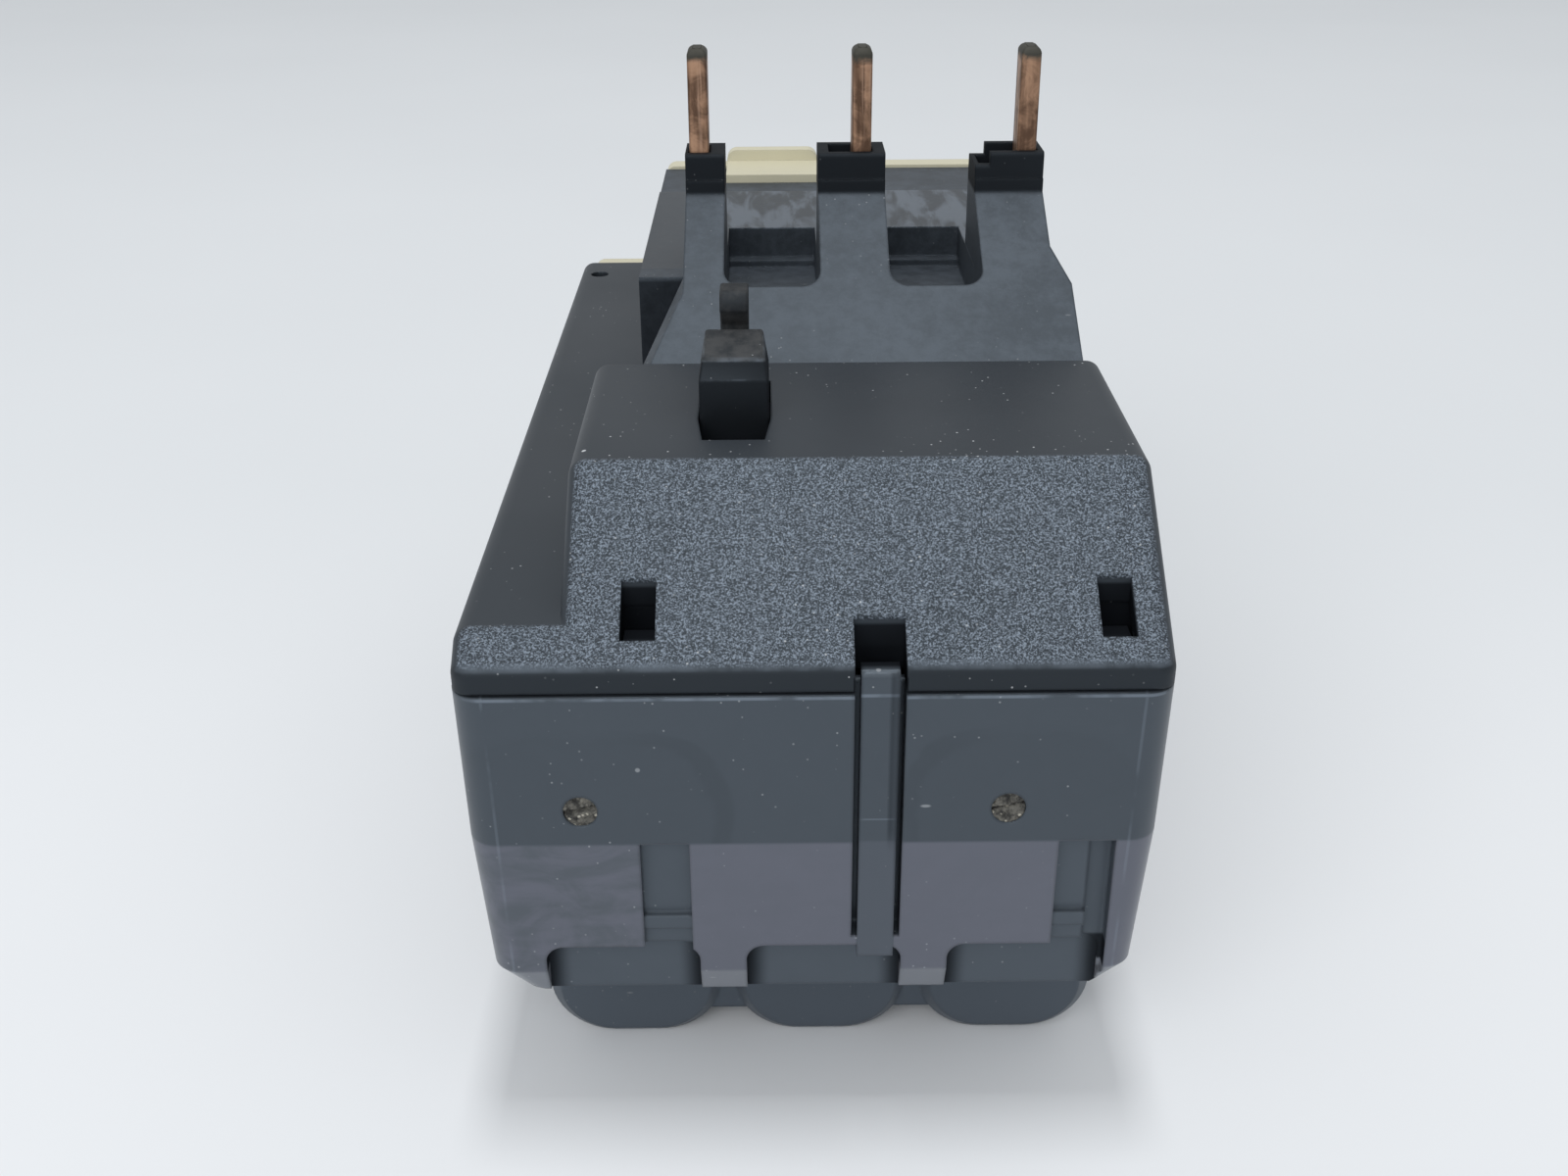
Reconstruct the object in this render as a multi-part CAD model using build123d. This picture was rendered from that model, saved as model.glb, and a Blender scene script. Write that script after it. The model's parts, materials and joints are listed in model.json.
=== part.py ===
from build123d import *
import os
from math import radians, tan

os.makedirs("parts", exist_ok=True)

# Three-pole thermal overload relay, standing on its cable side.
# +X is to the right seen from the front, the front faces -Y, and the plug-in pins point to +Z.
# Sizes are millimetres. A "depth" is measured from the rear wall towards the front plate.

# Overall housing
WIDTH = 45.0
BODY_DEPTH = 84.3
SEAM_Z = 33.0
WALL = 1.6
CORNER_R = 2.0
SEAM_GAP = 0.2
COVER_INSET = 0.15
FIT_GAP = 0.1
TURN_GAP = 0.05
PICK_TOLERANCE = 0.1

# Base housing, below the seam
REAR_WALL = 2.6
KINK_DROP = 11.0
WALL_END_DROP = 21.5
REAR_BOTTOM_DROP = 23.8
KINK_INSET = 0.2
WALL_END_INSET = 0.9
BOTTOM_INSET = 2.5
REAR_LEAN = 0.35
REAR_BEVEL = 1.4
POLE_MARGIN = 2.4
POLE_MIDDLE_X = -0.7
LOBE_GAP = 1.0
LOBE_R = 4.6
LOBE_END_CHAMFER = 0.8
LOBE_START = 6.9
LOBE_BAND_Z = 2.0
POWER_FRONT_SETBACK = 9.3
POWER_TOP_Z = 19.5

# Rear wall details
TONGUE_X = -4.1
TONGUE_WIDTH = 2.4
TONGUE_SLOT_WIDTH = 3.2
TONGUE_THICK = 1.3
TONGUE_R = 0.4
TONGUE_BACK_GAP = 0.5
TONGUE_STEP_IN = 0.25
TONGUE_RISE = 1.5
TONGUE_DROP = 18.7
SEAL_HOLE_R = 1.1
SEAL_DROP = 8.4
SEAL_INSETS = (7.65, 10.1)
SEAL_BOSS_R = 2.4
SEAL_BOSS_LENGTH = 3.4
CALIBRATION_SCREW_R = 0.9
CALIBRATION_SCREW_LENGTH = 5.0
PLUG_START = 0.35
PLUG_LENGTH = 0.9
FOOT_POCKET_DEPTH = 1.3
FOOT_POCKET_TOP_DROP = 19.4
FOOT_POCKET_SHARE = 0.769
FOOT_POCKET_HEIGHT = 10.3
FOOT_POCKET_R = 1.2
WALL_GROOVE_DEPTH = 0.7
WALL_GROOVES = ((14.5, 3.2), (40.5, 2.2))
WALL_GROOVE_RIB_DROPS = (17.0, 18.1)
WALL_GROOVE_RIB_PROUD = 0.35
SIDE_GROOVE = (40.5, 1.5)
SIDE_GROOVE_DEPTH = 1.2

# Rear cover, above the seam
SKIRT_RISE = 1.8
MAIN_TOP_RISE = 10.6
SLOPE_DEG = 36.0
MAIN_TOP_END = 31.3
STRIP_RISE = 3.54
STRIP_WIDTH = 6.7
STRIP_WIDTH_FRONT = 9.0
EDGE_R = 1.2
TONGUE_SLOT_DEPTH = 3.1
SNAP_SLOT_INSETS = (11.65, 3.6)
SNAP_LUG_RISE = 2.2
SNAP_SLOT_WIDTH = 2.2
SNAP_SLOT_START = 1.8
SNAP_SLOT_END = 5.3
SNAP_LUG_THICK = 1.3
VENT_HOLE_R = 0.9
VENT_HOLE_INSET = 2.3
VENT_HOLE_SETBACK = 4.3

# Contactor hook
HOOK_X = 5.05
HOOK_WIDTH = 4.8
HOOK_FRONT = 19.6
HOOK_BACK = 24.0
HOOK_SLOT_START = 15.8
HOOK_SLOT_TAPER = 0.4
HOOK_CAP_LOW_RISE = 13.4
HOOK_CAP_RISE = 14.6
HOOK_CAP_END_RISE = 15.7
HOOK_CAP_TAPER = 0.8
HOOK_NOSE_WIDTH = 2.0
HOOK_NOSE_BACK = 27.3
HOOK_NOSE_RISE = 18.2
HOOK_NOSE_LIP = 1.3
HOOK_NOSE_R = 0.9
HOOK_FOOT_THICK = 0.6

# Pin carrier
CARRIER_START = 31.6
CARRIER_INSET = 2.6
RAMP_INSET = 1.3
RAMP_LOW_RISE = 9.8
RAMP_TOP_DROP = 3.15
RAMP_EDGE_CHAMFER = 1.0
TOWER_RISE = 22.4
TOWER_STEP_DROP = 1.0
TOWER_STEP_WIDTH = 1.2
TOWER_BAND_DROP = 2.1
TOWER_BAND_STEP = 0.25
TOWER_EDGE_R = 0.3
TOWER_SETBACK = 35.8
TOWER_LENGTH = 5.0
BLOCK_START_SHARE = 0.722
BLOCK_RISE = 13.65
RAMP_LEFT_LOW_INSET = 9.5
RAMP_LEFT_HIGH_INSET = 13.1
RAMP_NARROW_SHARE = 0.598
RAMP_RIGHT_NARROW_SHARES = (0.462, 0.675)
RIB_WIDTHS = (3.2, 5.5, 5.6)
RIB_MIDDLE_SHIFT = 1.05
WINDOW_START_SHARE = 0.46
WINDOW_END_SETBACK = 25.1
WINDOW_FLOOR_RISE = 10.4
WINDOW_R = 1.5
WINDOW_LEDGE_HEIGHT = 0.6
WINDOW_LEDGE_DEPTH = 1.2
FRONT_STEP_LENGTH = 11.3
FRONT_STEP_DROP = 0.35

# Plug-in pins
PIN_MIDDLE_X = -5.03
PIN_REST_SHIFTS = (-0.1, 0.0, -0.12)
PIN_NAMES = ("plug_pin_right", "plug_pin_middle", "plug_pin_left")
PIN_TRAVELS = (0.0, 1.8, 3.0)
PIN_WIDTH = 1.6
PIN_THICK = 2.8
PIN_PROUD = 8.15
PIN_TIP_R = 0.6
PIN_FOOT_WIDTH = 2.6
PIN_FOOT_DEPTH = 4.4
PIN_FOOT_THICK = 1.0

# Current path inside
BIMETAL_SHIFT = -1.0
BIMETAL_START = 12.0
BIMETAL_WIDTH = 6.0
BIMETAL_THICK = 1.0
BIMETAL_TOP_RISE = 6.6
CHAMBER_FLOOR_Z = 12.0
STRAP_THICK = 1.0
STRAP_SHARE = 0.597
STRAP_TAB_HEIGHT = 4.6
SLEEVE_WALL = 0.8
SLEEVE_BOTTOM_Z = 18.6
SLEEVE_TOP_Z = 32.6
COIL_WIRE = 1.1
COIL_TURNS = 6
COIL_PITCH = 2.1
COIL_BOTTOM_Z = 19.6
LEAD_WIDTH = 2.6
LEAD_THICK = 0.8
LEAD_TURN_SETBACK = 4.0
MID_WALL_SETBACK = 40.3
MID_WALL_THICK = 2.0

# Power terminals
POWER_TAB_SETBACK = 22.3
POWER_SCREW_Z = 8.5
POWER_SCREW_R = 2.0
POWER_SCREW_LENGTH = 14.0
POWER_HEAD_SHARE = 0.833
POWER_HEAD_LENGTH = 2.6
POWER_WIRE_ROOM = 4.6
SADDLE_SHARE = 0.627
SADDLE_THICK = 1.2
POWER_CELL_SHARE = 0.776
POWER_CELL_LENGTH = 12.0
POWER_CELL_FLOOR_Z = 3.0
POWER_CELL_TOP_Z = 16.5
POWER_WIRE_SHARE = 0.687
SCREW_ACCESS_GAP = 0.4
SLOT_WIDTH = 0.9
SLOT_DEPTH = 1.0

# Control terminals
CONTROL_MARGIN = 8.2
CONTROL_NAMES = ("nc_terminal_outer", "nc_terminal_inner", "no_terminal_inner", "no_terminal_outer")
CONTROL_POCKET_DEPTH = 8.5
CONTROL_POCKET_SHARE = 0.804
CONTROL_TOP_Z = 30.0
CONTROL_BACK_WALL = 1.5
CONTROL_PLATE_THICK = 1.0
CONTROL_PLATE_SHARE = 0.717
CONTROL_SCREW_Z = 26.2
CONTROL_SCREW_R = 1.5
CONTROL_SCREW_TAIL = 3.0
CONTROL_HEAD_SHARE = 0.811
CONTROL_HEAD_LENGTH = 2.0
CONTROL_WASHER_SHARE = 0.838
CONTROL_WASHER_THICK = 0.9
CONTROL_WIRE_ROOM = 4.4

# Trip mechanism
SLIDE_THICK = 1.2
SLIDE_BOTTOM_RISE = 4.0
SLIDE_END_LENGTHS = (1.4, 4.0)
SLIDE_TRAVEL = 1.0
SLIDE_SLOT_GAP = 0.3
ARM_X = 1.5
ARM_WIDTH = 3.0
ARM_END_SETBACK = 26.3
DIFF_ARM_END_SETBACK = 31.3
STUD_R = 0.7
LEVER_PIVOT_SETBACK = 27.8
LEVER_STUD_SETBACK = 32.8
LEVER_TIP_SETBACK = 22.3
CARRIAGE_SETBACK = 24.8
CARRIAGE_LENGTH = 2.7
CARRIAGE_OVERHANG = 2.7
CARRIAGE_BOTTOM_Z = 25.0
CARRIAGE_HEIGHT = 5.0
CARRIAGE_TRAVEL = 1.3
GUIDE_RIB_WIDTH = 1.6
GUIDE_RIB_RISE = 1.2
BRIDGE_THICK = 0.5
BRIDGE_HEIGHT = 2.4
BRIDGE_OVERHANG = 1.2
BRIDGE_R = 0.8
SNAP_MOUTH = 1.0
BLADE_SHARE = 0.326
BLADE_THICK = 0.8
BLADE_TAB_HEIGHT = 5.0
CONTACT_R = 1.0
CONTACT_THICK = 0.4
NC_BLADE_Z = 27.0
NO_BLADE_Z = 21.6
TRIP_PIVOT_SHIFT = -0.1
TRIP_PIVOT_SETBACK = 14.3
TRIP_POST_R = 1.5
TRIP_POST_BASE_R = 2.2
TRIP_HUB_R = 2.3
TRIP_HUB_BOTTOM_Z = 31.2
TRIP_HUB_HEIGHT = 5.0
TRIP_ARM_THICK = 1.8
TRIP_ARM_REACH = 1.6
PUSH_ARM_X = -0.1
PUSH_ARM_WIDTH = 3.0
PUSH_GAP = 0.15
STRIP_THICK = 0.7
STRIP_LENGTH = 4.0

# Front plate and its controls
PLATE_THICK = 2.4
PLATE_INSET = 1.3
PLATE_BOTTOM_Z = 20.2
PLATE_TOP_RISE = 13.6
PLATE_SHOULDER_RISE = 3.3
PLATE_SHOULDER_INSET = 9.3
PLATE_TAB_SPAN = (-2.3, 6.9)
PLATE_TAB_RISE = 15.2
PLATE_TAB_LENGTH = 6.3
PLATE_TAB_THICK = 0.8
PLATE_R = 1.0
CONTROL_RISE = 8.5
DIAL_SHARE = 0.4848
DIAL_SIDE_GAP = 4.5
DIAL_RISE = 7.3
DIAL_RECESS_GAP = 0.3
DIAL_RECESS_DEPTH = 1.6
DIAL_PROUD = 0.3
DIAL_SHAFT_R = 2.0
DIAL_SLOT_WIDTH = 1.1
DIAL_SLOT_DEPTH = 1.0
DIAL_SLOT_END = 1.4
CAM_R = 3.6
CAM_OFFSET = 0.8
CAM_THICK = 2.6
BULKHEAD_SETBACK = 10.5
BULKHEAD_THICK = 1.4
STOP_SHARE = 0.2525
STOP_SIDE_GAP = 2.1
RESET_SIDE_GAPS = (1.8, 2.3)
BUTTON_PROUD = 1.7
STOP_TRAVEL = 2.0
RESET_TRAVEL = 2.8
RESET_POCKET = 1.0
STEM_R = 1.4
STEM_LENGTH = 13.8
STOP_CHAMFER = 0.4
RESET_EDGE_R = 0.5
COLLAR_R = 2.4
COLLAR_THICK = 1.0
BUTTON_SPRING_R = 2.0
BUTTON_SPRING_WIRE = 0.4
BUTTON_SPRING_TURNS = 3.5
FLAG_INSET = 7.4
FLAG_WIDTH = 5.6
FLAG_HEIGHT = 3.4
FLAG_THICK = 2.0
FLAG_WINDOW_WIDTH = 2.6
FLAG_WINDOW_HEIGHT = 2.2
FLAG_WINDOW_RISE = 0.8
FLAG_R = 0.4

# Clear cover
COVER_OVERLAP = 2.0
COVER_LOW_RISE = 1.6
COVER_HIGH_RISE = 12.9
COVER_STAND_OFF = 0.2
COVER_DEPTH = 1.9
COVER_SKIN = 0.9
HINGE_INSET = 3.2
HINGE_PIN_R = 0.5
HINGE_KNUCKLE_R = 1.1
HINGE_LUG_HEIGHT = 1.8
HINGE_LUG_PROUD = 0.8
HINGE_TO_COVER = 1.6

# Derived places
POWER_FRONT = BODY_DEPTH - POWER_FRONT_SETBACK
CONTROL_BACK = BODY_DEPTH - CONTROL_POCKET_DEPTH
BULKHEAD_START = BODY_DEPTH - BULKHEAD_SETBACK
STEM_END = BODY_DEPTH - STEM_LENGTH
PLATE_TAB_START = BODY_DEPTH - PLATE_TAB_LENGTH
POWER_TAB_DEPTH = BODY_DEPTH - POWER_TAB_SETBACK
VENT_HOLE_DEPTH = BODY_DEPTH - VENT_HOLE_SETBACK
FRONT_STEP_START = BODY_DEPTH - FRONT_STEP_LENGTH
TRIP_PIVOT_DEPTH = BODY_DEPTH - TRIP_PIVOT_SETBACK
CARRIAGE_START = BODY_DEPTH - CARRIAGE_SETBACK
LEVER_PIVOT = BODY_DEPTH - LEVER_PIVOT_SETBACK
LEVER_STUD = BODY_DEPTH - LEVER_STUD_SETBACK
LEVER_TIP = BODY_DEPTH - LEVER_TIP_SETBACK
ARM_END = BODY_DEPTH - ARM_END_SETBACK
DIFF_ARM_END = BODY_DEPTH - DIFF_ARM_END_SETBACK
WINDOW_END = BODY_DEPTH - WINDOW_END_SETBACK
TOWER_START = BODY_DEPTH - TOWER_SETBACK
MID_WALL_START = BODY_DEPTH - MID_WALL_SETBACK
TOWER_END = TOWER_START + TOWER_LENGTH
PIN_DEPTH = (TOWER_START + TOWER_END) / 2
MID_WALL_END = MID_WALL_START + MID_WALL_THICK
LEAD_TURN = MID_WALL_START - LEAD_TURN_SETBACK
RAMP_RUN = TOWER_START - CARRIER_START
BLOCK_START = CARRIER_START + RAMP_RUN * BLOCK_START_SHARE
RAMP_NARROW = CARRIER_START + RAMP_RUN * RAMP_NARROW_SHARE
RAMP_RIGHT_NARROW = tuple(CARRIER_START + RAMP_RUN * share for share in RAMP_RIGHT_NARROW_SHARES)
WINDOW_START = CARRIER_START + RAMP_RUN * WINDOW_START_SHARE
RAMP_HIGH_RISE = TOWER_RISE - RAMP_TOP_DROP
TOWER_STEP_RISE = TOWER_RISE - TOWER_STEP_DROP
TOWER_BAND_RISE = TOWER_RISE - TOWER_BAND_DROP
PIN_RISE = TOWER_RISE + PIN_PROUD
PLATE_FRONT = BODY_DEPTH + PLATE_THICK
TOTAL_DEPTH = PLATE_FRONT + COVER_STAND_OFF + COVER_DEPTH
REAR_Y = TOTAL_DEPTH / 2
HALF = WIDTH / 2
POLE_PITCH = (WIDTH - 2 * POLE_MARGIN) / 3
POLE_XS = tuple(POLE_MIDDLE_X + POLE_PITCH * step for step in (1, 0, -1))
BIMETAL_XS = tuple(x + BIMETAL_SHIFT for x in POLE_XS)
PIN_XS = tuple(PIN_MIDDLE_X + POLE_PITCH * step + shift for step, shift in zip((1, 0, -1), PIN_REST_SHIFTS))
CONTROL_PITCH = (WIDTH - CONTROL_MARGIN) / 4
CONTROL_XS = tuple(CONTROL_PITCH * step for step in (-1.5, -0.5, 0.5, 1.5))
LOBE_WIDTH = POLE_PITCH - LOBE_GAP
FOOT_POCKET_WIDTH = POLE_PITCH * FOOT_POCKET_SHARE
STRAP_WIDTH = POLE_PITCH * STRAP_SHARE
SADDLE_SIZE = POLE_PITCH * SADDLE_SHARE
POWER_CELL_WIDTH = POLE_PITCH * POWER_CELL_SHARE
POWER_CELL_START = POWER_TAB_DEPTH - POWER_CELL_LENGTH
POWER_WIRE_WIDTH = POLE_PITCH * POWER_WIRE_SHARE
CONTROL_POCKET_WIDTH = CONTROL_PITCH * CONTROL_POCKET_SHARE
CONTROL_PLATE_WIDTH = CONTROL_PITCH * CONTROL_PLATE_SHARE
CONTROL_HEAD_R = CONTROL_POCKET_WIDTH * CONTROL_HEAD_SHARE / 2
CONTROL_WASHER_SIZE = CONTROL_POCKET_WIDTH * CONTROL_WASHER_SHARE
POWER_HEAD_R = SADDLE_SIZE * POWER_HEAD_SHARE / 2
CARRIAGE_WIDTH = 2 * (CONTROL_XS[-1] + CARRIAGE_OVERHANG)
BRIDGE_SPAN = CONTROL_PITCH + 2 * BRIDGE_OVERHANG
STRIP_X = HALF - STRIP_WIDTH
STRIP_X_FRONT = HALF - STRIP_WIDTH_FRONT
SEAL_XS = (HALF - SEAL_INSETS[0], SEAL_INSETS[1] - HALF)
SNAP_SLOT_XS = (HALF - SNAP_SLOT_INSETS[0], SNAP_SLOT_INSETS[1] - HALF)
CARRIER_RIGHT_X = CARRIER_INSET - HALF
RAMP_RIGHT_X = RAMP_INSET - HALF
RAMP_LEFT_LOW_X = HALF - RAMP_LEFT_LOW_INSET
RAMP_LEFT_HIGH_X = HALF - RAMP_LEFT_HIGH_INSET
RIB_MIDDLE_X = (RAMP_LEFT_HIGH_X + CARRIER_RIGHT_X) / 2 + RIB_MIDDLE_SHIFT
RIB_SPANS = ((RAMP_LEFT_HIGH_X - RIB_WIDTHS[0], RAMP_LEFT_HIGH_X),
             (RIB_MIDDLE_X - RIB_WIDTHS[1] / 2, RIB_MIDDLE_X + RIB_WIDTHS[1] / 2),
             (CARRIER_RIGHT_X, CARRIER_RIGHT_X + RIB_WIDTHS[2]))
PLATE_HALF_WIDTH = HALF - PLATE_INSET
PLATE_SHOULDER_X = HALF - PLATE_SHOULDER_INSET
HINGE_X = HINGE_INSET - HALF
CONTROLS_RUN = (PLATE_SHOULDER_X - HINGE_X - DIAL_SIDE_GAP - COVER_OVERLAP - STOP_SIDE_GAP
                - sum(RESET_SIDE_GAPS))
DIAL_R = CONTROLS_RUN * DIAL_SHARE / 2
STOP_R = CONTROLS_RUN * STOP_SHARE / 2
RESET_SIZE = CONTROLS_RUN - 2 * DIAL_R - 2 * STOP_R
DIAL_X = HINGE_X + DIAL_SIDE_GAP + DIAL_R
DIAL_SLOT_REACH = DIAL_R - DIAL_SLOT_END
COVER_RIGHT = DIAL_X + DIAL_R + COVER_OVERLAP
STOP_X = COVER_RIGHT + STOP_SIDE_GAP + STOP_R
RESET_X = STOP_X + STOP_R + RESET_SIDE_GAPS[0] + RESET_SIZE / 2
FLAG_X = PLATE_SHOULDER_X - FLAG_INSET
BLADE_WIDTH = CONTROL_PITCH * BLADE_SHARE
TRIP_PIVOT_X = (CONTROL_XS[2] + CONTROL_XS[3]) / 2 + TRIP_PIVOT_SHIFT
MAIN_TOP_Z = SEAM_Z + MAIN_TOP_RISE
STRIP_Z = SEAM_Z + STRIP_RISE
BLOCK_Z = SEAM_Z + BLOCK_RISE
REAR_BOTTOM_Z = SEAM_Z - REAR_BOTTOM_DROP
KINK_Z = SEAM_Z - KINK_DROP
SLIDE_Z = SEAM_Z + SLIDE_BOTTOM_RISE
DIFF_Z = SLIDE_Z + SLIDE_THICK + FIT_GAP
LEVER_Z = DIFF_Z + SLIDE_THICK + FIT_GAP
CONTROL_Z = SEAM_Z + CONTROL_RISE
DIAL_Z = SEAM_Z + DIAL_RISE


def y(depth):
    return REAR_Y - depth


def block(x0, x1, depth0, depth1, z0, z1):
    """A box between two values in each direction."""
    middle = ((x0 + x1) / 2, (y(depth0) + y(depth1)) / 2, (z0 + z1) / 2)
    return Pos(*middle) * Box(abs(x1 - x0), abs(depth1 - depth0), abs(z1 - z0))


def side_prism(points, x0, x1):
    """A (depth, z) outline carried across from x0 to x1."""
    outline = Polygon(*[(y(depth), z) for depth, z in points], align=None)
    face = Plane(origin=(x0, 0, 0), x_dir=(0, 1, 0), z_dir=(1, 0, 0)) * outline
    return extrude(face, amount=x1 - x0, dir=(1, 0, 0))


def front_prism(points, depth0, depth1):
    """An (x, z) outline carried forwards from depth0 to depth1."""
    outline = Polygon(*points, align=None)
    face = Plane(origin=(0, y(depth0), 0), x_dir=(1, 0, 0), z_dir=(0, -1, 0)) * outline
    return extrude(face, amount=depth1 - depth0, dir=(0, -1, 0))


def plan_prism(points, z0, z1):
    """An (x, depth) outline carried up from z0 to z1."""
    outline = Polygon(*[(x, y(depth)) for x, depth in points], align=None)
    return extrude(Pos(0, 0, z0) * outline, amount=z1 - z0, dir=(0, 0, 1))


def rod_y(x, z, depth0, depth1, radius):
    """A round bar along the depth."""
    middle = Pos(x, (y(depth0) + y(depth1)) / 2, z)
    return middle * Rot(90, 0, 0) * Cylinder(radius, abs(depth1 - depth0))


def rod_z(x, depth, z0, z1, radius):
    """An upright round bar."""
    return Pos(x, y(depth), (z0 + z1) / 2) * Cylinder(radius, z1 - z0)


def edges_along(shape, axis, test):
    """Edges parallel to an axis whose centre passes a test."""
    return [edge for edge in shape.edges().filter_by(axis) if test(edge.center())]


def save(name, *solids):
    shape = solids[0] if len(solids) == 1 else Compound(children=list(solids))
    shape.label = name
    export_step(shape, f"parts/{name}.step")


# Base housing: a drafted tray with a kinked rear wall, standing on three cable shrouds
def rounded_section(width, rear_inset, z):
    depth = BODY_DEPTH - rear_inset
    centre = (0, y(rear_inset + depth / 2), z)
    return Pos(*centre) * RectangleRounded(width, depth, CORNER_R)


def base_form():
    sections = (
        rounded_section(WIDTH, 0, SEAM_Z),
        rounded_section(WIDTH - 2 * KINK_INSET, KINK_INSET / 2, KINK_Z),
        rounded_section(WIDTH - 2 * WALL_END_INSET, REAR_LEAN, SEAM_Z - WALL_END_DROP),
        rounded_section(WIDTH - 2 * BOTTOM_INSET, REAR_BEVEL, REAR_BOTTOM_Z),
    )
    form = loft([sections[0], sections[1]], ruled=True)
    for upper, lower in zip(sections[1:], sections[2:]):
        form += loft([upper, lower], ruled=True)
    form -= block(-HALF, HALF, POWER_FRONT, BODY_DEPTH + WALL, REAR_BOTTOM_Z - WALL, POWER_TOP_Z)
    return form


def shroud(x):
    outline = Pos(x, LOBE_BAND_Z + LOBE_R) * RectangleRounded(LOBE_WIDTH, 2 * (LOBE_BAND_Z + LOBE_R), LOBE_R)
    face = Plane(origin=(0, y(LOBE_START), 0), x_dir=(1, 0, 0), z_dir=(0, -1, 0)) * outline
    lobe = extrude(face, amount=POWER_FRONT - LOBE_START, dir=(0, -1, 0))
    rear_edges = [edge for edge in lobe.edges() if abs(edge.center().Y - y(LOBE_START)) < PICK_TOLERANCE]
    return chamfer(rear_edges, LOBE_END_CHAMFER)


def chambers():
    inner = HALF - WALL - WALL_END_INSET
    heater_room = block(-inner, inner, REAR_WALL, MID_WALL_START, CHAMBER_FLOOR_Z, SEAM_Z + WALL)
    trip_room = block(-inner, inner, MID_WALL_END, CONTROL_BACK - CONTROL_BACK_WALL,
                      POWER_TOP_Z, SEAM_Z + WALL)
    lead_notch = block(-inner, inner, MID_WALL_START, MID_WALL_END, lead_z(), SEAM_Z + WALL)
    return heater_room + trip_room + lead_notch


def lead_z():
    return COIL_BOTTOM_Z + COIL_PITCH * (COIL_TURNS - 1) + COIL_WIRE - LEAD_THICK


def power_cell(x):
    half_cell = POWER_CELL_WIDTH / 2
    half_strap = STRAP_WIDTH / 2 + FIT_GAP
    head_front = power_head_front()
    cell = block(x - half_cell, x + half_cell, POWER_CELL_START, head_front,
                 POWER_CELL_FLOOR_Z, POWER_CELL_TOP_Z)
    strap_way = block(x - half_strap, x + half_strap, MID_WALL_START - WALL, POWER_CELL_START,
                      CHAMBER_FLOOR_Z, CHAMBER_FLOOR_Z + STRAP_THICK + FIT_GAP)
    wire_way = block(x - POWER_WIRE_WIDTH / 2, x + POWER_WIRE_WIDTH / 2,
                     POWER_TAB_DEPTH + STRAP_THICK, head_front - POWER_HEAD_LENGTH,
                     -WALL, POWER_CELL_FLOOR_Z)
    access = rod_y(x, POWER_SCREW_Z, head_front, POWER_FRONT + WALL, POWER_HEAD_R + SCREW_ACCESS_GAP)
    return cell + strap_way + wire_way + access


def power_head_front():
    return POWER_TAB_DEPTH + STRAP_THICK + POWER_WIRE_ROOM + SADDLE_THICK + POWER_HEAD_LENGTH


def control_pocket(x):
    half_pocket = CONTROL_POCKET_WIDTH / 2
    pocket = block(x - half_pocket, x + half_pocket, CONTROL_BACK, BODY_DEPTH + WALL,
                   POWER_TOP_Z - WALL, CONTROL_TOP_Z)
    screw_hole = rod_y(x, CONTROL_SCREW_Z, CONTROL_BACK - CONTROL_SCREW_TAIL - WALL, CONTROL_BACK,
                       CONTROL_SCREW_R + TURN_GAP)
    blade_z = blade_level(x)
    blade_way = block(x - BLADE_WIDTH / 2 - FIT_GAP, x + BLADE_WIDTH / 2 + FIT_GAP,
                      CONTROL_BACK - CONTROL_BACK_WALL, CONTROL_BACK,
                      blade_z, blade_z + BLADE_THICK)
    return pocket + screw_hole + blade_way


def blade_level(x):
    return NC_BLADE_Z if x < 0 else NO_BLADE_Z


def tongue_way():
    half_slot = TONGUE_SLOT_WIDTH / 2
    return block(TONGUE_X - half_slot, TONGUE_X + half_slot, -WALL,
                 TONGUE_STEP_IN + TONGUE_THICK + TONGUE_BACK_GAP, SEAM_Z - TONGUE_DROP, SEAM_Z + WALL)


def tongue():
    half_tongue = TONGUE_WIDTH / 2
    tongue_front = TONGUE_STEP_IN + TONGUE_THICK
    blade = block(TONGUE_X - half_tongue, TONGUE_X + half_tongue, TONGUE_STEP_IN, tongue_front,
                  SEAM_Z - TONGUE_DROP - WALL, SEAM_Z + TONGUE_RISE)
    top_edge = edges_along(blade, Axis.X, lambda c: c.Z > SEAM_Z and c.Y > y(tongue_front) + PICK_TOLERANCE)
    return fillet(top_edge, TONGUE_R)


def wall_recesses():
    cuts = []
    foot_top = SEAM_Z - FOOT_POCKET_TOP_DROP
    for x in POLE_XS:
        outline = Pos(x, foot_top - FOOT_POCKET_HEIGHT / 2) * RectangleRounded(
            FOOT_POCKET_WIDTH, FOOT_POCKET_HEIGHT, FOOT_POCKET_R)
        face = Plane(origin=(0, y(-WALL), 0), x_dir=(1, 0, 0), z_dir=(0, -1, 0)) * outline
        cuts.append(extrude(face, amount=WALL + REAR_LEAN + FOOT_POCKET_DEPTH, dir=(0, -1, 0)))
    depth = REAR_LEAN / 2 + WALL_GROOVE_DEPTH
    rib_top, rib_bottom = (SEAM_Z - drop for drop in WALL_GROOVE_RIB_DROPS)
    for inset, width in WALL_GROOVES:
        left = HALF - inset
        cuts.append(block(left, left + width, -WALL, depth - WALL_GROOVE_RIB_PROUD, foot_top - WALL, KINK_Z))
        cuts.append(block(left, left + width, -WALL, depth, rib_top, KINK_Z))
        cuts.append(block(left, left + width, -WALL, depth, foot_top - WALL, rib_bottom))
    side_x = HALF - SIDE_GROOVE[0]
    cuts.append(block(side_x - SIDE_GROOVE[1], side_x, -WALL, REAR_LEAN / 2 + SIDE_GROOVE_DEPTH,
                      REAR_BOTTOM_Z + WALL, KINK_Z))
    return cuts


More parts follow.
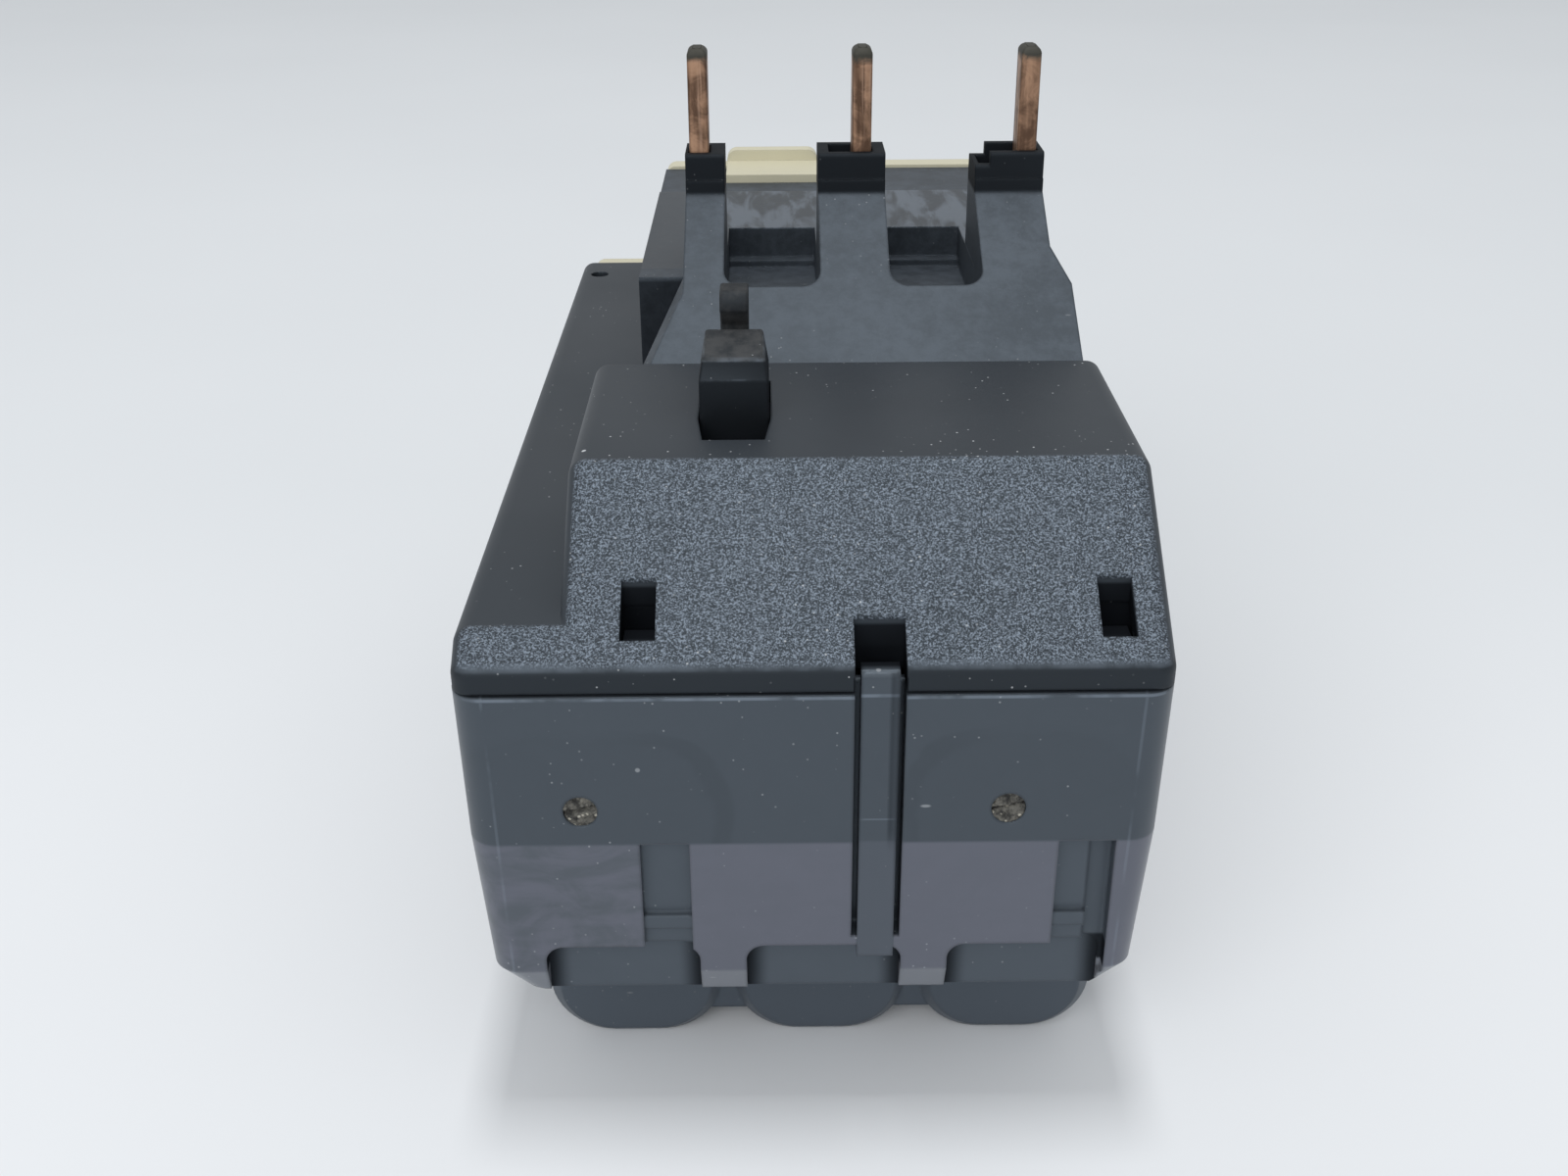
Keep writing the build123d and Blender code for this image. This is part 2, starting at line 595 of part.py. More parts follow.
def pole_walls():
    walls = []
    for x in (POLE_XS[0] - POLE_PITCH / 2, POLE_XS[1] - POLE_PITCH / 2):
        walls.append(block(x - WALL / 2, x + WALL / 2, REAR_WALL, MID_WALL_START,
                           CHAMBER_FLOOR_Z, lead_z()))
        walls.append(block(x - WALL / 2, x + WALL / 2, BIMETAL_START, BIMETAL_START + BIMETAL_WIDTH,
                           lead_z(), SLIDE_Z - FIT_GAP))
    return walls


def snap_lug(x):
    half_lug = SNAP_SLOT_WIDTH / 2 - FIT_GAP
    outline = ((REAR_WALL - WALL, SEAM_Z - WALL), (REAR_WALL - WALL, SEAM_Z),
               (COVER_INSET + WALL + SEAM_GAP, SEAM_Z),
               (COVER_INSET + WALL + SEAM_GAP, SEAM_Z + SNAP_LUG_RISE / 2),
               (SNAP_SLOT_START + WALL, SEAM_Z + SNAP_LUG_RISE),
               (SNAP_SLOT_START + WALL + SNAP_LUG_THICK, SEAM_Z + SNAP_LUG_RISE),
               (SNAP_SLOT_START + WALL + SNAP_LUG_THICK, SEAM_Z - WALL))
    return side_prism(outline, x - half_lug, x + half_lug)


def trip_post():
    foot = rod_z(TRIP_PIVOT_X, TRIP_PIVOT_DEPTH, POWER_TOP_Z, TRIP_HUB_BOTTOM_Z - FIT_GAP, TRIP_POST_BASE_R)
    spindle = rod_z(TRIP_PIVOT_X, TRIP_PIVOT_DEPTH, POWER_TOP_Z,
                    TRIP_HUB_BOTTOM_Z + TRIP_HUB_HEIGHT + FIT_GAP, TRIP_POST_R)
    return foot + spindle


def guide_rib():
    half_rib = GUIDE_RIB_WIDTH / 2
    return block(-half_rib, half_rib, CARRIAGE_START - 2 * CARRIAGE_TRAVEL,
                 CARRIAGE_START + CARRIAGE_LENGTH + CARRIAGE_TRAVEL,
                 POWER_TOP_Z, CARRIAGE_BOTTOM_Z + GUIDE_RIB_RISE)


def base_housing():
    form = base_form()
    for x in POLE_XS:
        form += shroud(x)
    form += block(POLE_XS[-1], POLE_XS[0], LOBE_START + LOBE_END_CHAMFER, POWER_FRONT,
                  LOBE_BAND_Z, REAR_BOTTOM_Z)
    form -= chambers()
    for x in POLE_XS:
        form -= power_cell(x)
    for x in CONTROL_XS:
        form -= control_pocket(x)
    for cut in wall_recesses():
        form -= cut
    form -= tongue_way()
    form += tongue()
    for wall in pole_walls():
        form += wall
    for x in SEAL_XS:
        form += rod_y(x, SEAM_Z - SEAL_DROP, REAR_WALL - WALL, REAR_WALL + SEAL_BOSS_LENGTH, SEAL_BOSS_R)
        form -= rod_y(x, SEAM_Z - SEAL_DROP, -WALL, REAR_WALL + SEAL_BOSS_LENGTH + WALL, SEAL_HOLE_R)
    for x in SNAP_SLOT_XS:
        form += snap_lug(x)
    form += trip_post()
    form += guide_rib()
    return form


# Rear cover: grained slope, flat main top and the low strip that runs to the front
def cover_outline(top_z, end, inset):
    """Side outline up the slope to a flat top, moved inwards by inset."""
    top = top_z - inset
    start = COVER_INSET + inset
    skirt = SEAM_Z + SKIRT_RISE - inset * tan(radians((90 - SLOPE_DEG) / 2))
    run = (top - skirt) / tan(radians(SLOPE_DEG))
    return ((start, SEAM_Z + SEAM_GAP), (start, skirt), (start + run, top), (end, top),
            (end, SEAM_Z + SEAM_GAP))


def main_hollow(side):
    end = MAIN_TOP_END + WALL
    rise = cover_outline(MAIN_TOP_Z, MAIN_TOP_END, WALL)[:3]
    rest = ((end, MAIN_TOP_Z - WALL), (end, SEAM_Z - WALL), (COVER_INSET + WALL, SEAM_Z - WALL))
    return side_prism(rise + rest, -side, STRIP_X - WALL)


def strip_hollow(side):
    rise = cover_outline(STRIP_Z, BODY_DEPTH - WALL, WALL)[:4]
    rest = ((BODY_DEPTH - WALL, SEAM_Z - WALL), (COVER_INSET + WALL, SEAM_Z - WALL))
    hollow = side_prism(rise + rest, STRIP_X - 2 * WALL, side)
    return hollow - block(STRIP_X - 2 * WALL, STRIP_X_FRONT + WALL, MAIN_TOP_END - WALL, BODY_DEPTH,
                          SEAM_Z - WALL, MAIN_TOP_Z)


def rounded(form, test):
    """Rounds the outer edges that pass a test, leaving those on the seam sharp."""
    low = SEAM_Z + SEAM_GAP + PICK_TOLERANCE
    edges = [edge for edge in form.edges() if edge.center().Z > low and test(edge.center())]
    return fillet(edges, EDGE_R)


def cover_outside():
    side = HALF - COVER_INSET
    main_front = y(MAIN_TOP_END) + PICK_TOLERANCE
    left = STRIP_X - PICK_TOLERANCE
    skirt_top = SEAM_Z + SKIRT_RISE + PICK_TOLERANCE
    main = side_prism(cover_outline(MAIN_TOP_Z, MAIN_TOP_END, 0), -side, STRIP_X)
    main = rounded(main, lambda c: c.Y > main_front and (c.X < left or c.Z > skirt_top))
    strip = side_prism(cover_outline(STRIP_Z, BODY_DEPTH, 0), STRIP_X_FRONT, side)
    strip_side = STRIP_X_FRONT + PICK_TOLERANCE
    strip_front = y(BODY_DEPTH) + PICK_TOLERANCE
    return main + rounded(strip, lambda c: c.X > strip_side and c.Y > strip_front)


def hook_slot():
    half_slot = HOOK_WIDTH / 2 + FIT_GAP
    half_end = half_slot - HOOK_SLOT_TAPER
    outline = ((HOOK_X - half_end, HOOK_SLOT_START), (HOOK_X + half_end, HOOK_SLOT_START),
               (HOOK_X + half_slot, HOOK_FRONT), (HOOK_X + half_slot, HOOK_NOSE_BACK + FIT_GAP),
               (HOOK_X - half_slot, HOOK_NOSE_BACK + FIT_GAP), (HOOK_X - half_slot, HOOK_FRONT))
    return plan_prism(outline, MAIN_TOP_Z - 2 * WALL, MAIN_TOP_Z + WALL)


def rear_cover():
    side = HALF - COVER_INSET - WALL
    outside = cover_outside()
    half_slot = TONGUE_SLOT_WIDTH / 2
    slot_box = block(TONGUE_X - half_slot - WALL, TONGUE_X + half_slot + WALL, 0, TONGUE_SLOT_DEPTH + WALL,
                     SEAM_Z + SEAM_GAP, MAIN_TOP_Z)
    form = outside - main_hollow(side) - strip_hollow(side) + (outside & slot_box)
    form -= block(TONGUE_X - half_slot, TONGUE_X + half_slot, -WALL, TONGUE_SLOT_DEPTH,
                  SEAM_Z, MAIN_TOP_Z)
    for x in SNAP_SLOT_XS:
        form -= block(x - SNAP_SLOT_WIDTH / 2, x + SNAP_SLOT_WIDTH / 2, SNAP_SLOT_START, SNAP_SLOT_END,
                      SEAM_Z, MAIN_TOP_Z)
    form -= hook_slot()
    form -= rod_z(HALF - VENT_HOLE_INSET, VENT_HOLE_DEPTH, STRIP_Z - WALL / 2, STRIP_Z + WALL, VENT_HOLE_R)
    return form


# Contactor hook: a capped peg with a rounded nose behind it
def contactor_hook():
    half_hook = HOOK_WIDTH / 2
    low = MAIN_TOP_Z - WALL - HOOK_FOOT_THICK
    shoulder_z = SEAM_Z + HOOK_CAP_LOW_RISE
    peg = block(HOOK_X - half_hook, HOOK_X + half_hook, HOOK_FRONT, HOOK_BACK, low, shoulder_z)
    cap = side_prism(((HOOK_FRONT, shoulder_z), (HOOK_FRONT + HOOK_CAP_TAPER, SEAM_Z + HOOK_CAP_RISE),
                      (HOOK_BACK, SEAM_Z + HOOK_CAP_END_RISE), (HOOK_BACK, shoulder_z)),
                     HOOK_X - half_hook, HOOK_X + half_hook)
    cap &= front_prism(((HOOK_X - half_hook, shoulder_z), (HOOK_X + half_hook, shoulder_z),
                        (HOOK_X + half_hook - HOOK_CAP_TAPER / 2, SEAM_Z + HOOK_CAP_END_RISE),
                        (HOOK_X - half_hook + HOOK_CAP_TAPER / 2, SEAM_Z + HOOK_CAP_END_RISE)),
                       HOOK_FRONT, HOOK_BACK)
    half_nose = HOOK_NOSE_WIDTH / 2
    nose_z = SEAM_Z + HOOK_NOSE_RISE
    nose = side_prism(((HOOK_BACK - WALL, low), (HOOK_NOSE_BACK, low), (HOOK_NOSE_BACK, nose_z),
                       (HOOK_BACK, nose_z), (HOOK_BACK, nose_z - HOOK_NOSE_LIP),
                       (HOOK_BACK + HOOK_NOSE_LIP, nose_z - 2 * HOOK_NOSE_LIP),
                       (HOOK_BACK + HOOK_NOSE_LIP, low + WALL), (HOOK_BACK - WALL, low + WALL)),
                      HOOK_X - half_nose, HOOK_X + half_nose)
    nose_tops = edges_along(nose, Axis.X, lambda c: c.Z > nose_z - PICK_TOLERANCE)
    nose = fillet(nose_tops, HOOK_NOSE_R)
    foot = block(HOOK_X - half_hook - WALL, HOOK_X + half_hook + WALL, HOOK_FRONT, HOOK_NOSE_BACK,
                 low - HOOK_FOOT_THICK, MAIN_TOP_Z - WALL)
    return peg + cap + nose + foot


# Pin carrier: ramp, ribs and pin towers in front of the main block
def ramp_plan():
    narrow_start, narrow_end = RAMP_RIGHT_NARROW
    return ((RAMP_LEFT_LOW_X, CARRIER_START), (RAMP_LEFT_HIGH_X, RAMP_NARROW), (RAMP_LEFT_HIGH_X, TOWER_END),
            (CARRIER_RIGHT_X, TOWER_END), (CARRIER_RIGHT_X, narrow_end), (RAMP_RIGHT_X, narrow_start),
            (RAMP_RIGHT_X, CARRIER_START))


def ramp_outline():
    return ((CARRIER_START, SEAM_Z), (CARRIER_START, SEAM_Z + RAMP_LOW_RISE),
            (TOWER_START, SEAM_Z + RAMP_HIGH_RISE), (TOWER_START, SEAM_Z + TOWER_RISE),
            (TOWER_END, SEAM_Z + TOWER_RISE), (TOWER_END, SEAM_Z))


def window_cut(x0, x1):
    top = SEAM_Z + TOWER_RISE + WALL
    floor = SEAM_Z + WINDOW_FLOOR_RISE
    pocket = block(x0, x1, WINDOW_START, WINDOW_END, floor, top)
    near_corners = edges_along(pocket, Axis.Z, lambda c: c.Y > y(WINDOW_START) - PICK_TOLERANCE)
    ledge = block(x0, x1, WINDOW_END - WINDOW_LEDGE_DEPTH, WINDOW_END, floor, floor + WINDOW_LEDGE_HEIGHT)
    return fillet(near_corners, WINDOW_R) - ledge


def pin_slot(x, travel):
    half_pin = PIN_WIDTH / 2 + FIT_GAP
    half_thick = PIN_THICK / 2 + FIT_GAP
    return block(x - half_pin, x + travel + half_pin, PIN_DEPTH - half_thick, PIN_DEPTH + half_thick,
                 SEAM_Z - WALL, SEAM_Z + TOWER_RISE + WALL)


def carrier_room():
    """The hollow under the ramp and the front block."""
    left = PLATE_SHOULDER_X - WALL
    ramp_left = RAMP_LEFT_HIGH_X - WALL
    right = CARRIER_RIGHT_X + WALL
    low = SEAM_Z - WALL
    roof = SEAM_Z + WINDOW_FLOOR_RISE - WALL
    start = CARRIER_START + WALL
    room = side_prism(((start, low), (start, SEAM_Z + RAMP_LOW_RISE - WALL), (WINDOW_START - WALL, roof),
                       (BLOCK_START, roof), (BLOCK_START, low)), right, ramp_left)
    room += block(right, ramp_left, BLOCK_START, WINDOW_END + WALL, low, roof)
    room += block(ramp_left - WALL, left, BLOCK_START + WALL, BULKHEAD_START, low, roof)
    room += block(right, left, WINDOW_END + WALL, BULKHEAD_START, low, BLOCK_Z - WALL)
    return room + block(right, left, BULKHEAD_START + BULKHEAD_THICK, BODY_DEPTH - WALL,
                        low, BLOCK_Z - WALL - FRONT_STEP_DROP)


def window_cuts():
    first, second, third = RIB_SPANS
    return window_cut(second[1], first[0]) + window_cut(third[1], second[0])


def reset_opening(depth0, depth1):
    half_reset = RESET_SIZE / 2 + FIT_GAP
    return block(RESET_X - half_reset, RESET_X + half_reset, depth0, depth1,
                 CONTROL_Z - half_reset, CONTROL_Z + half_reset)


def flag_window(depth0, depth1):
    """The opening that shows the middle of the flag once it has moved."""
    middle = FLAG_X + FLAG_WIDTH / 4
    low = SEAM_Z + FLAG_WINDOW_RISE
    return block(middle - FLAG_WINDOW_WIDTH / 2, middle + FLAG_WINDOW_WIDTH / 2, depth0, depth1,
                 low, low + FLAG_WINDOW_HEIGHT)


def ramp_left_edge(form):
    low_x = RAMP_LEFT_LOW_X - PICK_TOLERANCE
    high_x = RAMP_LEFT_HIGH_X + PICK_TOLERANCE
    return [edge for edge in form.edges() if high_x < edge.center().X < low_x
            and edge.center().Z > SEAM_Z + RAMP_LOW_RISE + PICK_TOLERANCE]


def carrier_form():
    form = plan_prism(ramp_plan(), SEAM_Z + SEAM_GAP, SEAM_Z + TOWER_RISE)
    form &= side_prism(ramp_outline(), RAMP_RIGHT_X, RAMP_LEFT_LOW_X)
    form = chamfer(ramp_left_edge(form), RAMP_EDGE_CHAMFER)
    form -= window_cuts()
    step_x = RIB_SPANS[-1][1]
    form -= block(step_x - TOWER_STEP_WIDTH, step_x, TOWER_START - WALL, TOWER_END,
                  SEAM_Z + TOWER_STEP_RISE, SEAM_Z + TOWER_RISE + WALL)
    low = SEAM_Z + SEAM_GAP
    form += block(CARRIER_RIGHT_X, PLATE_SHOULDER_X, TOWER_END - WALL, BODY_DEPTH, low, BLOCK_Z)
    form += block(RAMP_LEFT_HIGH_X - WALL, PLATE_SHOULDER_X, BLOCK_START, TOWER_END, low, BLOCK_Z)
    form -= window_cuts()
    form -= block(CARRIER_RIGHT_X, PLATE_SHOULDER_X, FRONT_STEP_START, BODY_DEPTH,
                  BLOCK_Z - FRONT_STEP_DROP, BLOCK_Z + WALL)
    form -= block(CARRIER_RIGHT_X, RAMP_LEFT_HIGH_X, TOWER_START - WALL, TOWER_START + TOWER_BAND_STEP,
                  SEAM_Z + TOWER_BAND_RISE, SEAM_Z + TOWER_RISE + WALL)
    tower_top = SEAM_Z + TOWER_STEP_RISE - PICK_TOLERANCE
    return fillet(edges_along(form, Axis.X, lambda c: c.Z > tower_top), TOWER_EDGE_R)


def pin_carrier():
    form = carrier_form() - carrier_room()
    for x, travel in zip(PIN_XS, PIN_TRAVELS):
        form -= pin_slot(x, travel)
    half_arm = ARM_WIDTH / 2 + SLIDE_TRAVEL + FIT_GAP
    form -= block(ARM_X - half_arm, ARM_X + half_arm, CARRIER_START - WALL, CARRIER_START + 2 * WALL,
                  SEAM_Z, LEVER_Z)
    form -= rod_y(DIAL_X, DIAL_Z, BULKHEAD_START - WALL, BODY_DEPTH + WALL, DIAL_SHAFT_R + TURN_GAP)
    for x in (STOP_X, RESET_X):
        form -= rod_y(x, CONTROL_Z, BULKHEAD_START - WALL, BODY_DEPTH + WALL, STEM_R + TURN_GAP)
    form -= reset_opening(BODY_DEPTH - RESET_POCKET, BODY_DEPTH + WALL)
    return form - flag_window(BODY_DEPTH - 2 * WALL, BODY_DEPTH + WALL)


# Copper plug-in pin with its foot on the heater lead
def plug_pin(x):
    foot_z = lead_z() + LEAD_THICK + FIT_GAP / 2
    top = SEAM_Z + PIN_RISE
    half_pin = PIN_WIDTH / 2
    shank = block(x - half_pin, x + half_pin, PIN_DEPTH - PIN_THICK / 2, PIN_DEPTH + PIN_THICK / 2,
                  foot_z, top)
    shank = fillet(shank.edges().group_by(Axis.Z)[-1], PIN_TIP_R)
    foot = block(x - PIN_FOOT_WIDTH / 2, x + PIN_FOOT_WIDTH / 2, PIN_DEPTH - PIN_FOOT_DEPTH / 2,
                 PIN_DEPTH + PIN_FOOT_DEPTH / 2, foot_z, foot_z + PIN_FOOT_THICK)
    return shank + foot


# Bimetal strip, its sleeve, the heater wound round it and the strap it is welded to
def bimetal(x):
    return block(x - BIMETAL_THICK / 2, x + BIMETAL_THICK / 2, BIMETAL_START, BIMETAL_START + BIMETAL_WIDTH,
                 CHAMBER_FLOOR_Z + STRAP_THICK, SEAM_Z + BIMETAL_TOP_RISE)


def coil_box(x, grow, z0, z1):
    return block(x - BIMETAL_THICK / 2 - grow, x + BIMETAL_THICK / 2 + grow,
                 BIMETAL_START - grow, BIMETAL_START + BIMETAL_WIDTH + grow, z0, z1)


def insulating_sleeve(x):
    hollow = coil_box(x, 0, SLEEVE_BOTTOM_Z, SLEEVE_TOP_Z)
    return coil_box(x, SLEEVE_WALL, SLEEVE_BOTTOM_Z, SLEEVE_TOP_Z) - hollow


def heater_lead(x, pin_x, travel):
    """Flat lead from the top turn to the landing plate under the pin."""
    start = BIMETAL_START + BIMETAL_WIDTH + SLEEVE_WALL
    half_lead = LEAD_WIDTH / 2
    end = PIN_DEPTH + PIN_FOOT_DEPTH / 2
    far = pin_x + travel + half_lead
    near = pin_x - half_lead
    outline = ((x - half_lead, start), (x + half_lead, start), (x + half_lead, LEAD_TURN),
               (far, MID_WALL_END), (far, end), (near, end), (near, MID_WALL_END), (x - half_lead, LEAD_TURN))
    return plan_prism(outline, lead_z(), lead_z() + LEAD_THICK)


def heater_winding(x, pin_x, travel):
    grow = SLEEVE_WALL + COIL_WIRE
    front = BIMETAL_START + BIMETAL_WIDTH / 2 + COIL_WIRE
    back = front - 2 * COIL_WIRE
    winding = None
    for turn in range(COIL_TURNS):
        z = COIL_BOTTOM_Z + turn * COIL_PITCH
        ring = coil_box(x, grow, z, z + COIL_WIRE) - coil_box(x, SLEEVE_WALL, z, z + COIL_WIRE)
        winding = ring if winding is None else winding + ring
        if turn:
            side = 1 if turn % 2 else -1
            edge = x + side * (BIMETAL_THICK / 2 + grow)
            winding += block(edge - side * COIL_WIRE, edge, back, front, z - COIL_PITCH + COIL_WIRE, z)
    bimetal_face = x - BIMETAL_THICK / 2
    tab_z = SLEEVE_BOTTOM_Z - COIL_WIRE
    weld_tab = block(bimetal_face - grow, bimetal_face, back, front, tab_z, SLEEVE_BOTTOM_Z)
    weld_leg = block(bimetal_face - grow, bimetal_face - SLEEVE_WALL, back, front, tab_z, COIL_BOTTOM_Z)
    return winding + heater_lead(x, pin_x, travel) + weld_tab + weld_leg


def output_strap(x, bimetal_x):
    half_strap = STRAP_WIDTH / 2
    floor = CHAMBER_FLOOR_Z
    end = POWER_TAB_DEPTH + STRAP_THICK
    bar = block(x - half_strap, x + half_strap, BIMETAL_START, end, floor, floor + STRAP_THICK)
    weld_x = bimetal_x + BIMETAL_THICK / 2
    weld_tab = block(weld_x, weld_x + STRAP_THICK, BIMETAL_START, BIMETAL_START + BIMETAL_WIDTH,
                     floor, floor + STRAP_TAB_HEIGHT)
    tab = block(x - half_strap, x + half_strap, POWER_TAB_DEPTH, end,
                POWER_SCREW_Z - SADDLE_SIZE / 2, floor + STRAP_THICK)
    return bar + weld_tab + tab - rod_y(x, POWER_SCREW_Z, POWER_TAB_DEPTH - WALL, end + WALL,
                                        POWER_SCREW_R + TURN_GAP)


# Screw terminals
def slotted_screw(x, z, head_front, head_radius, head_length, radius, length):
    head = rod_y(x, z, head_front - head_length, head_front, head_radius)
    shank = rod_y(x, z, head_front - head_length - length, head_front - head_length, radius)
    slot = block(x - head_radius, x + head_radius, head_front - SLOT_DEPTH, head_front + SLOT_DEPTH,
                 z - SLOT_WIDTH / 2, z + SLOT_WIDTH / 2)
    return head + shank - slot


def power_screw(x):
    return slotted_screw(x, POWER_SCREW_Z, power_head_front(), POWER_HEAD_R, POWER_HEAD_LENGTH,
                         POWER_SCREW_R, POWER_SCREW_LENGTH)


def clamp_plate(x, z, size, depth0, thick, hole_radius):
    plate = block(x - size / 2, x + size / 2, depth0, depth0 + thick, z - size / 2, z + size / 2)
    upright = edges_along(plate, Axis.Y, lambda c: True)
    plate = chamfer(upright, thick / 2)
    return plate - rod_y(x, z, depth0 - thick, depth0 + 2 * thick, hole_radius)


def power_saddle(x):
    depth0 = POWER_TAB_DEPTH + STRAP_THICK + POWER_WIRE_ROOM
    return clamp_plate(x, POWER_SCREW_Z, SADDLE_SIZE, depth0, SADDLE_THICK, POWER_SCREW_R + TURN_GAP)


def control_washer_depth():
    return CONTROL_BACK + CONTROL_PLATE_THICK + CONTROL_WIRE_ROOM


def control_washer(x):
    return clamp_plate(x, CONTROL_SCREW_Z, CONTROL_WASHER_SIZE, control_washer_depth(),
                       CONTROL_WASHER_THICK, CONTROL_SCREW_R + TURN_GAP)


def control_screw(x):
    head_back = control_washer_depth() + CONTROL_WASHER_THICK
    length = head_back - CONTROL_BACK + CONTROL_SCREW_TAIL
    return slotted_screw(x, CONTROL_SCREW_Z, head_back + CONTROL_HEAD_LENGTH, CONTROL_HEAD_R,
                         CONTROL_HEAD_LENGTH, CONTROL_SCREW_R, length)


def contact_face(x):
    """Depth of the fixed contact's face: touching the bridge for NC, one travel behind it for NO."""
    if x < 0:
        return CARRIAGE_START + CARRIAGE_LENGTH + BRIDGE_THICK
    return CARRIAGE_START - BRIDGE_THICK - CARRIAGE_TRAVEL - TURN_GAP


def control_plate(x):
    half_plate = CONTROL_PLATE_WIDTH / 2
    blade_z = blade_level(x)
    plate = block(x - half_plate, x + half_plate, CONTROL_BACK, CONTROL_BACK + CONTROL_PLATE_THICK,
                  POWER_TOP_Z + WALL / 2, CONTROL_TOP_Z - WALL / 2)
    plate -= rod_y(x, CONTROL_SCREW_Z, CONTROL_BACK - WALL, CONTROL_BACK + 2 * WALL,
                   CONTROL_SCREW_R + TURN_GAP)
    side = 1 if x < 0 else -1
    contact = contact_face(x)
    tab_back = contact + side * CONTACT_THICK
    tab_front = tab_back + side * BLADE_THICK
    blade = block(x - BLADE_WIDTH / 2, x + BLADE_WIDTH / 2, min(tab_back, tab_front), CONTROL_BACK,
                  blade_z, blade_z + BLADE_THICK)
    blade -= rod_y(x, CONTROL_SCREW_Z, CONTROL_BACK - CONTROL_SCREW_TAIL - WALL, CONTROL_BACK,
                   CONTROL_SCREW_R + FIT_GAP)
    middle_z = CARRIAGE_BOTTOM_Z + CARRIAGE_HEIGHT / 2
    tab = block(x - BLADE_WIDTH / 2, x + BLADE_WIDTH / 2, tab_back, tab_front,
                min(blade_z, middle_z - BLADE_TAB_HEIGHT / 2), middle_z + BLADE_TAB_HEIGHT / 2)
    tip = rod_y(x, middle_z, min(contact, tab_back), max(contact, tab_back), CONTACT_R)
    return plate + blade + tab + tip


# Contact carriage with its two bridges, and the snap spring that throws it over
def contact_carriage():
    half_width = CARRIAGE_WIDTH / 2
    end = CARRIAGE_START + CARRIAGE_LENGTH
    top = CARRIAGE_BOTTOM_Z + CARRIAGE_HEIGHT
    bar = block(-half_width, half_width, CARRIAGE_START, end, CARRIAGE_BOTTOM_Z, top)
    half_groove = GUIDE_RIB_WIDTH / 2 + FIT_GAP
    bar -= block(-half_groove, half_groove, CARRIAGE_START - WALL, end + WALL, CARRIAGE_BOTTOM_Z - WALL,
                 CARRIAGE_BOTTOM_Z + GUIDE_RIB_RISE + FIT_GAP)
    finger_top = TRIP_HUB_BOTTOM_Z + TRIP_ARM_THICK
    finger_start = CARRIAGE_START + WALL / 2
    finger_end = TRIP_PIVOT_DEPTH - PUSH_ARM_WIDTH / 2 - PUSH_GAP
    peg = block(-WALL / 2, WALL, finger_start, end, top, finger_top)
    return bar + peg + block(-WALL / 2, WALL, finger_start, finger_end, TRIP_HUB_BOTTOM_Z, finger_top)


def contact_bridge(side):
    middle_x = side * (abs(CONTROL_XS[0]) + abs(CONTROL_XS[1])) / 2
    z = CARRIAGE_BOTTOM_Z + CARRIAGE_HEIGHT / 2
    depth = CARRIAGE_START + CARRIAGE_LENGTH if side < 0 else CARRIAGE_START - BRIDGE_THICK
    bridge = block(middle_x - BRIDGE_SPAN / 2, middle_x + BRIDGE_SPAN / 2, depth, depth + BRIDGE_THICK,
                   z - BRIDGE_HEIGHT / 2, z + BRIDGE_HEIGHT / 2)
    return fillet(edges_along(bridge, Axis.Y, lambda c: True), BRIDGE_R)


def snap_spring():
    low = CARRIAGE_BOTTOM_Z + CARRIAGE_HEIGHT
    start = CARRIAGE_START + CARRIAGE_LENGTH / 2
    x = -TRIP_PIVOT_X
    outer = rod_z(x, start, low, low + BLADE_WIDTH, CARRIAGE_LENGTH)
    inner = rod_z(x, start, low, low + BLADE_WIDTH, CARRIAGE_LENGTH - BRIDGE_THICK)
    mouth = block(x - 2 * CARRIAGE_LENGTH, x, start - SNAP_MOUTH, start + SNAP_MOUTH, low, low + BLADE_WIDTH)
    return outer - inner - mouth


# Slides over the bimetals, the differential lever and the trip lever
def slide_bar(z, arm_end):
    start = BIMETAL_XS[-1] - SLIDE_END_LENGTHS[1]
    end = BIMETAL_XS[0] + SLIDE_END_LENGTHS[0]
    front = BIMETAL_START + BIMETAL_WIDTH
    half_arm = ARM_WIDTH / 2
    bar = block(start, end, BIMETAL_START - WALL, front + WALL, z, z + SLIDE_THICK)
    bar += block(ARM_X - half_arm, ARM_X + half_arm, front, arm_end, z, z + SLIDE_THICK)
    for x in BIMETAL_XS:
        low = x - BIMETAL_THICK / 2 - SLIDE_TRAVEL - SLIDE_SLOT_GAP
        high = x + BIMETAL_THICK / 2 + SLIDE_SLOT_GAP
        bar -= block(low, high, BIMETAL_START - SLIDE_SLOT_GAP, front + SLIDE_SLOT_GAP, z - WALL, z + WALL)
    return bar


def trip_slide():
    stud = rod_z(ARM_X, LEVER_PIVOT, SLIDE_Z, LEVER_Z + SLIDE_THICK, STUD_R)
    return slide_bar(SLIDE_Z, ARM_END) + stud


def differential_slide():
    stud = rod_z(ARM_X, LEVER_STUD, DIFF_Z, LEVER_Z + SLIDE_THICK, STUD_R)
    return slide_bar(DIFF_Z, DIFF_ARM_END) + stud


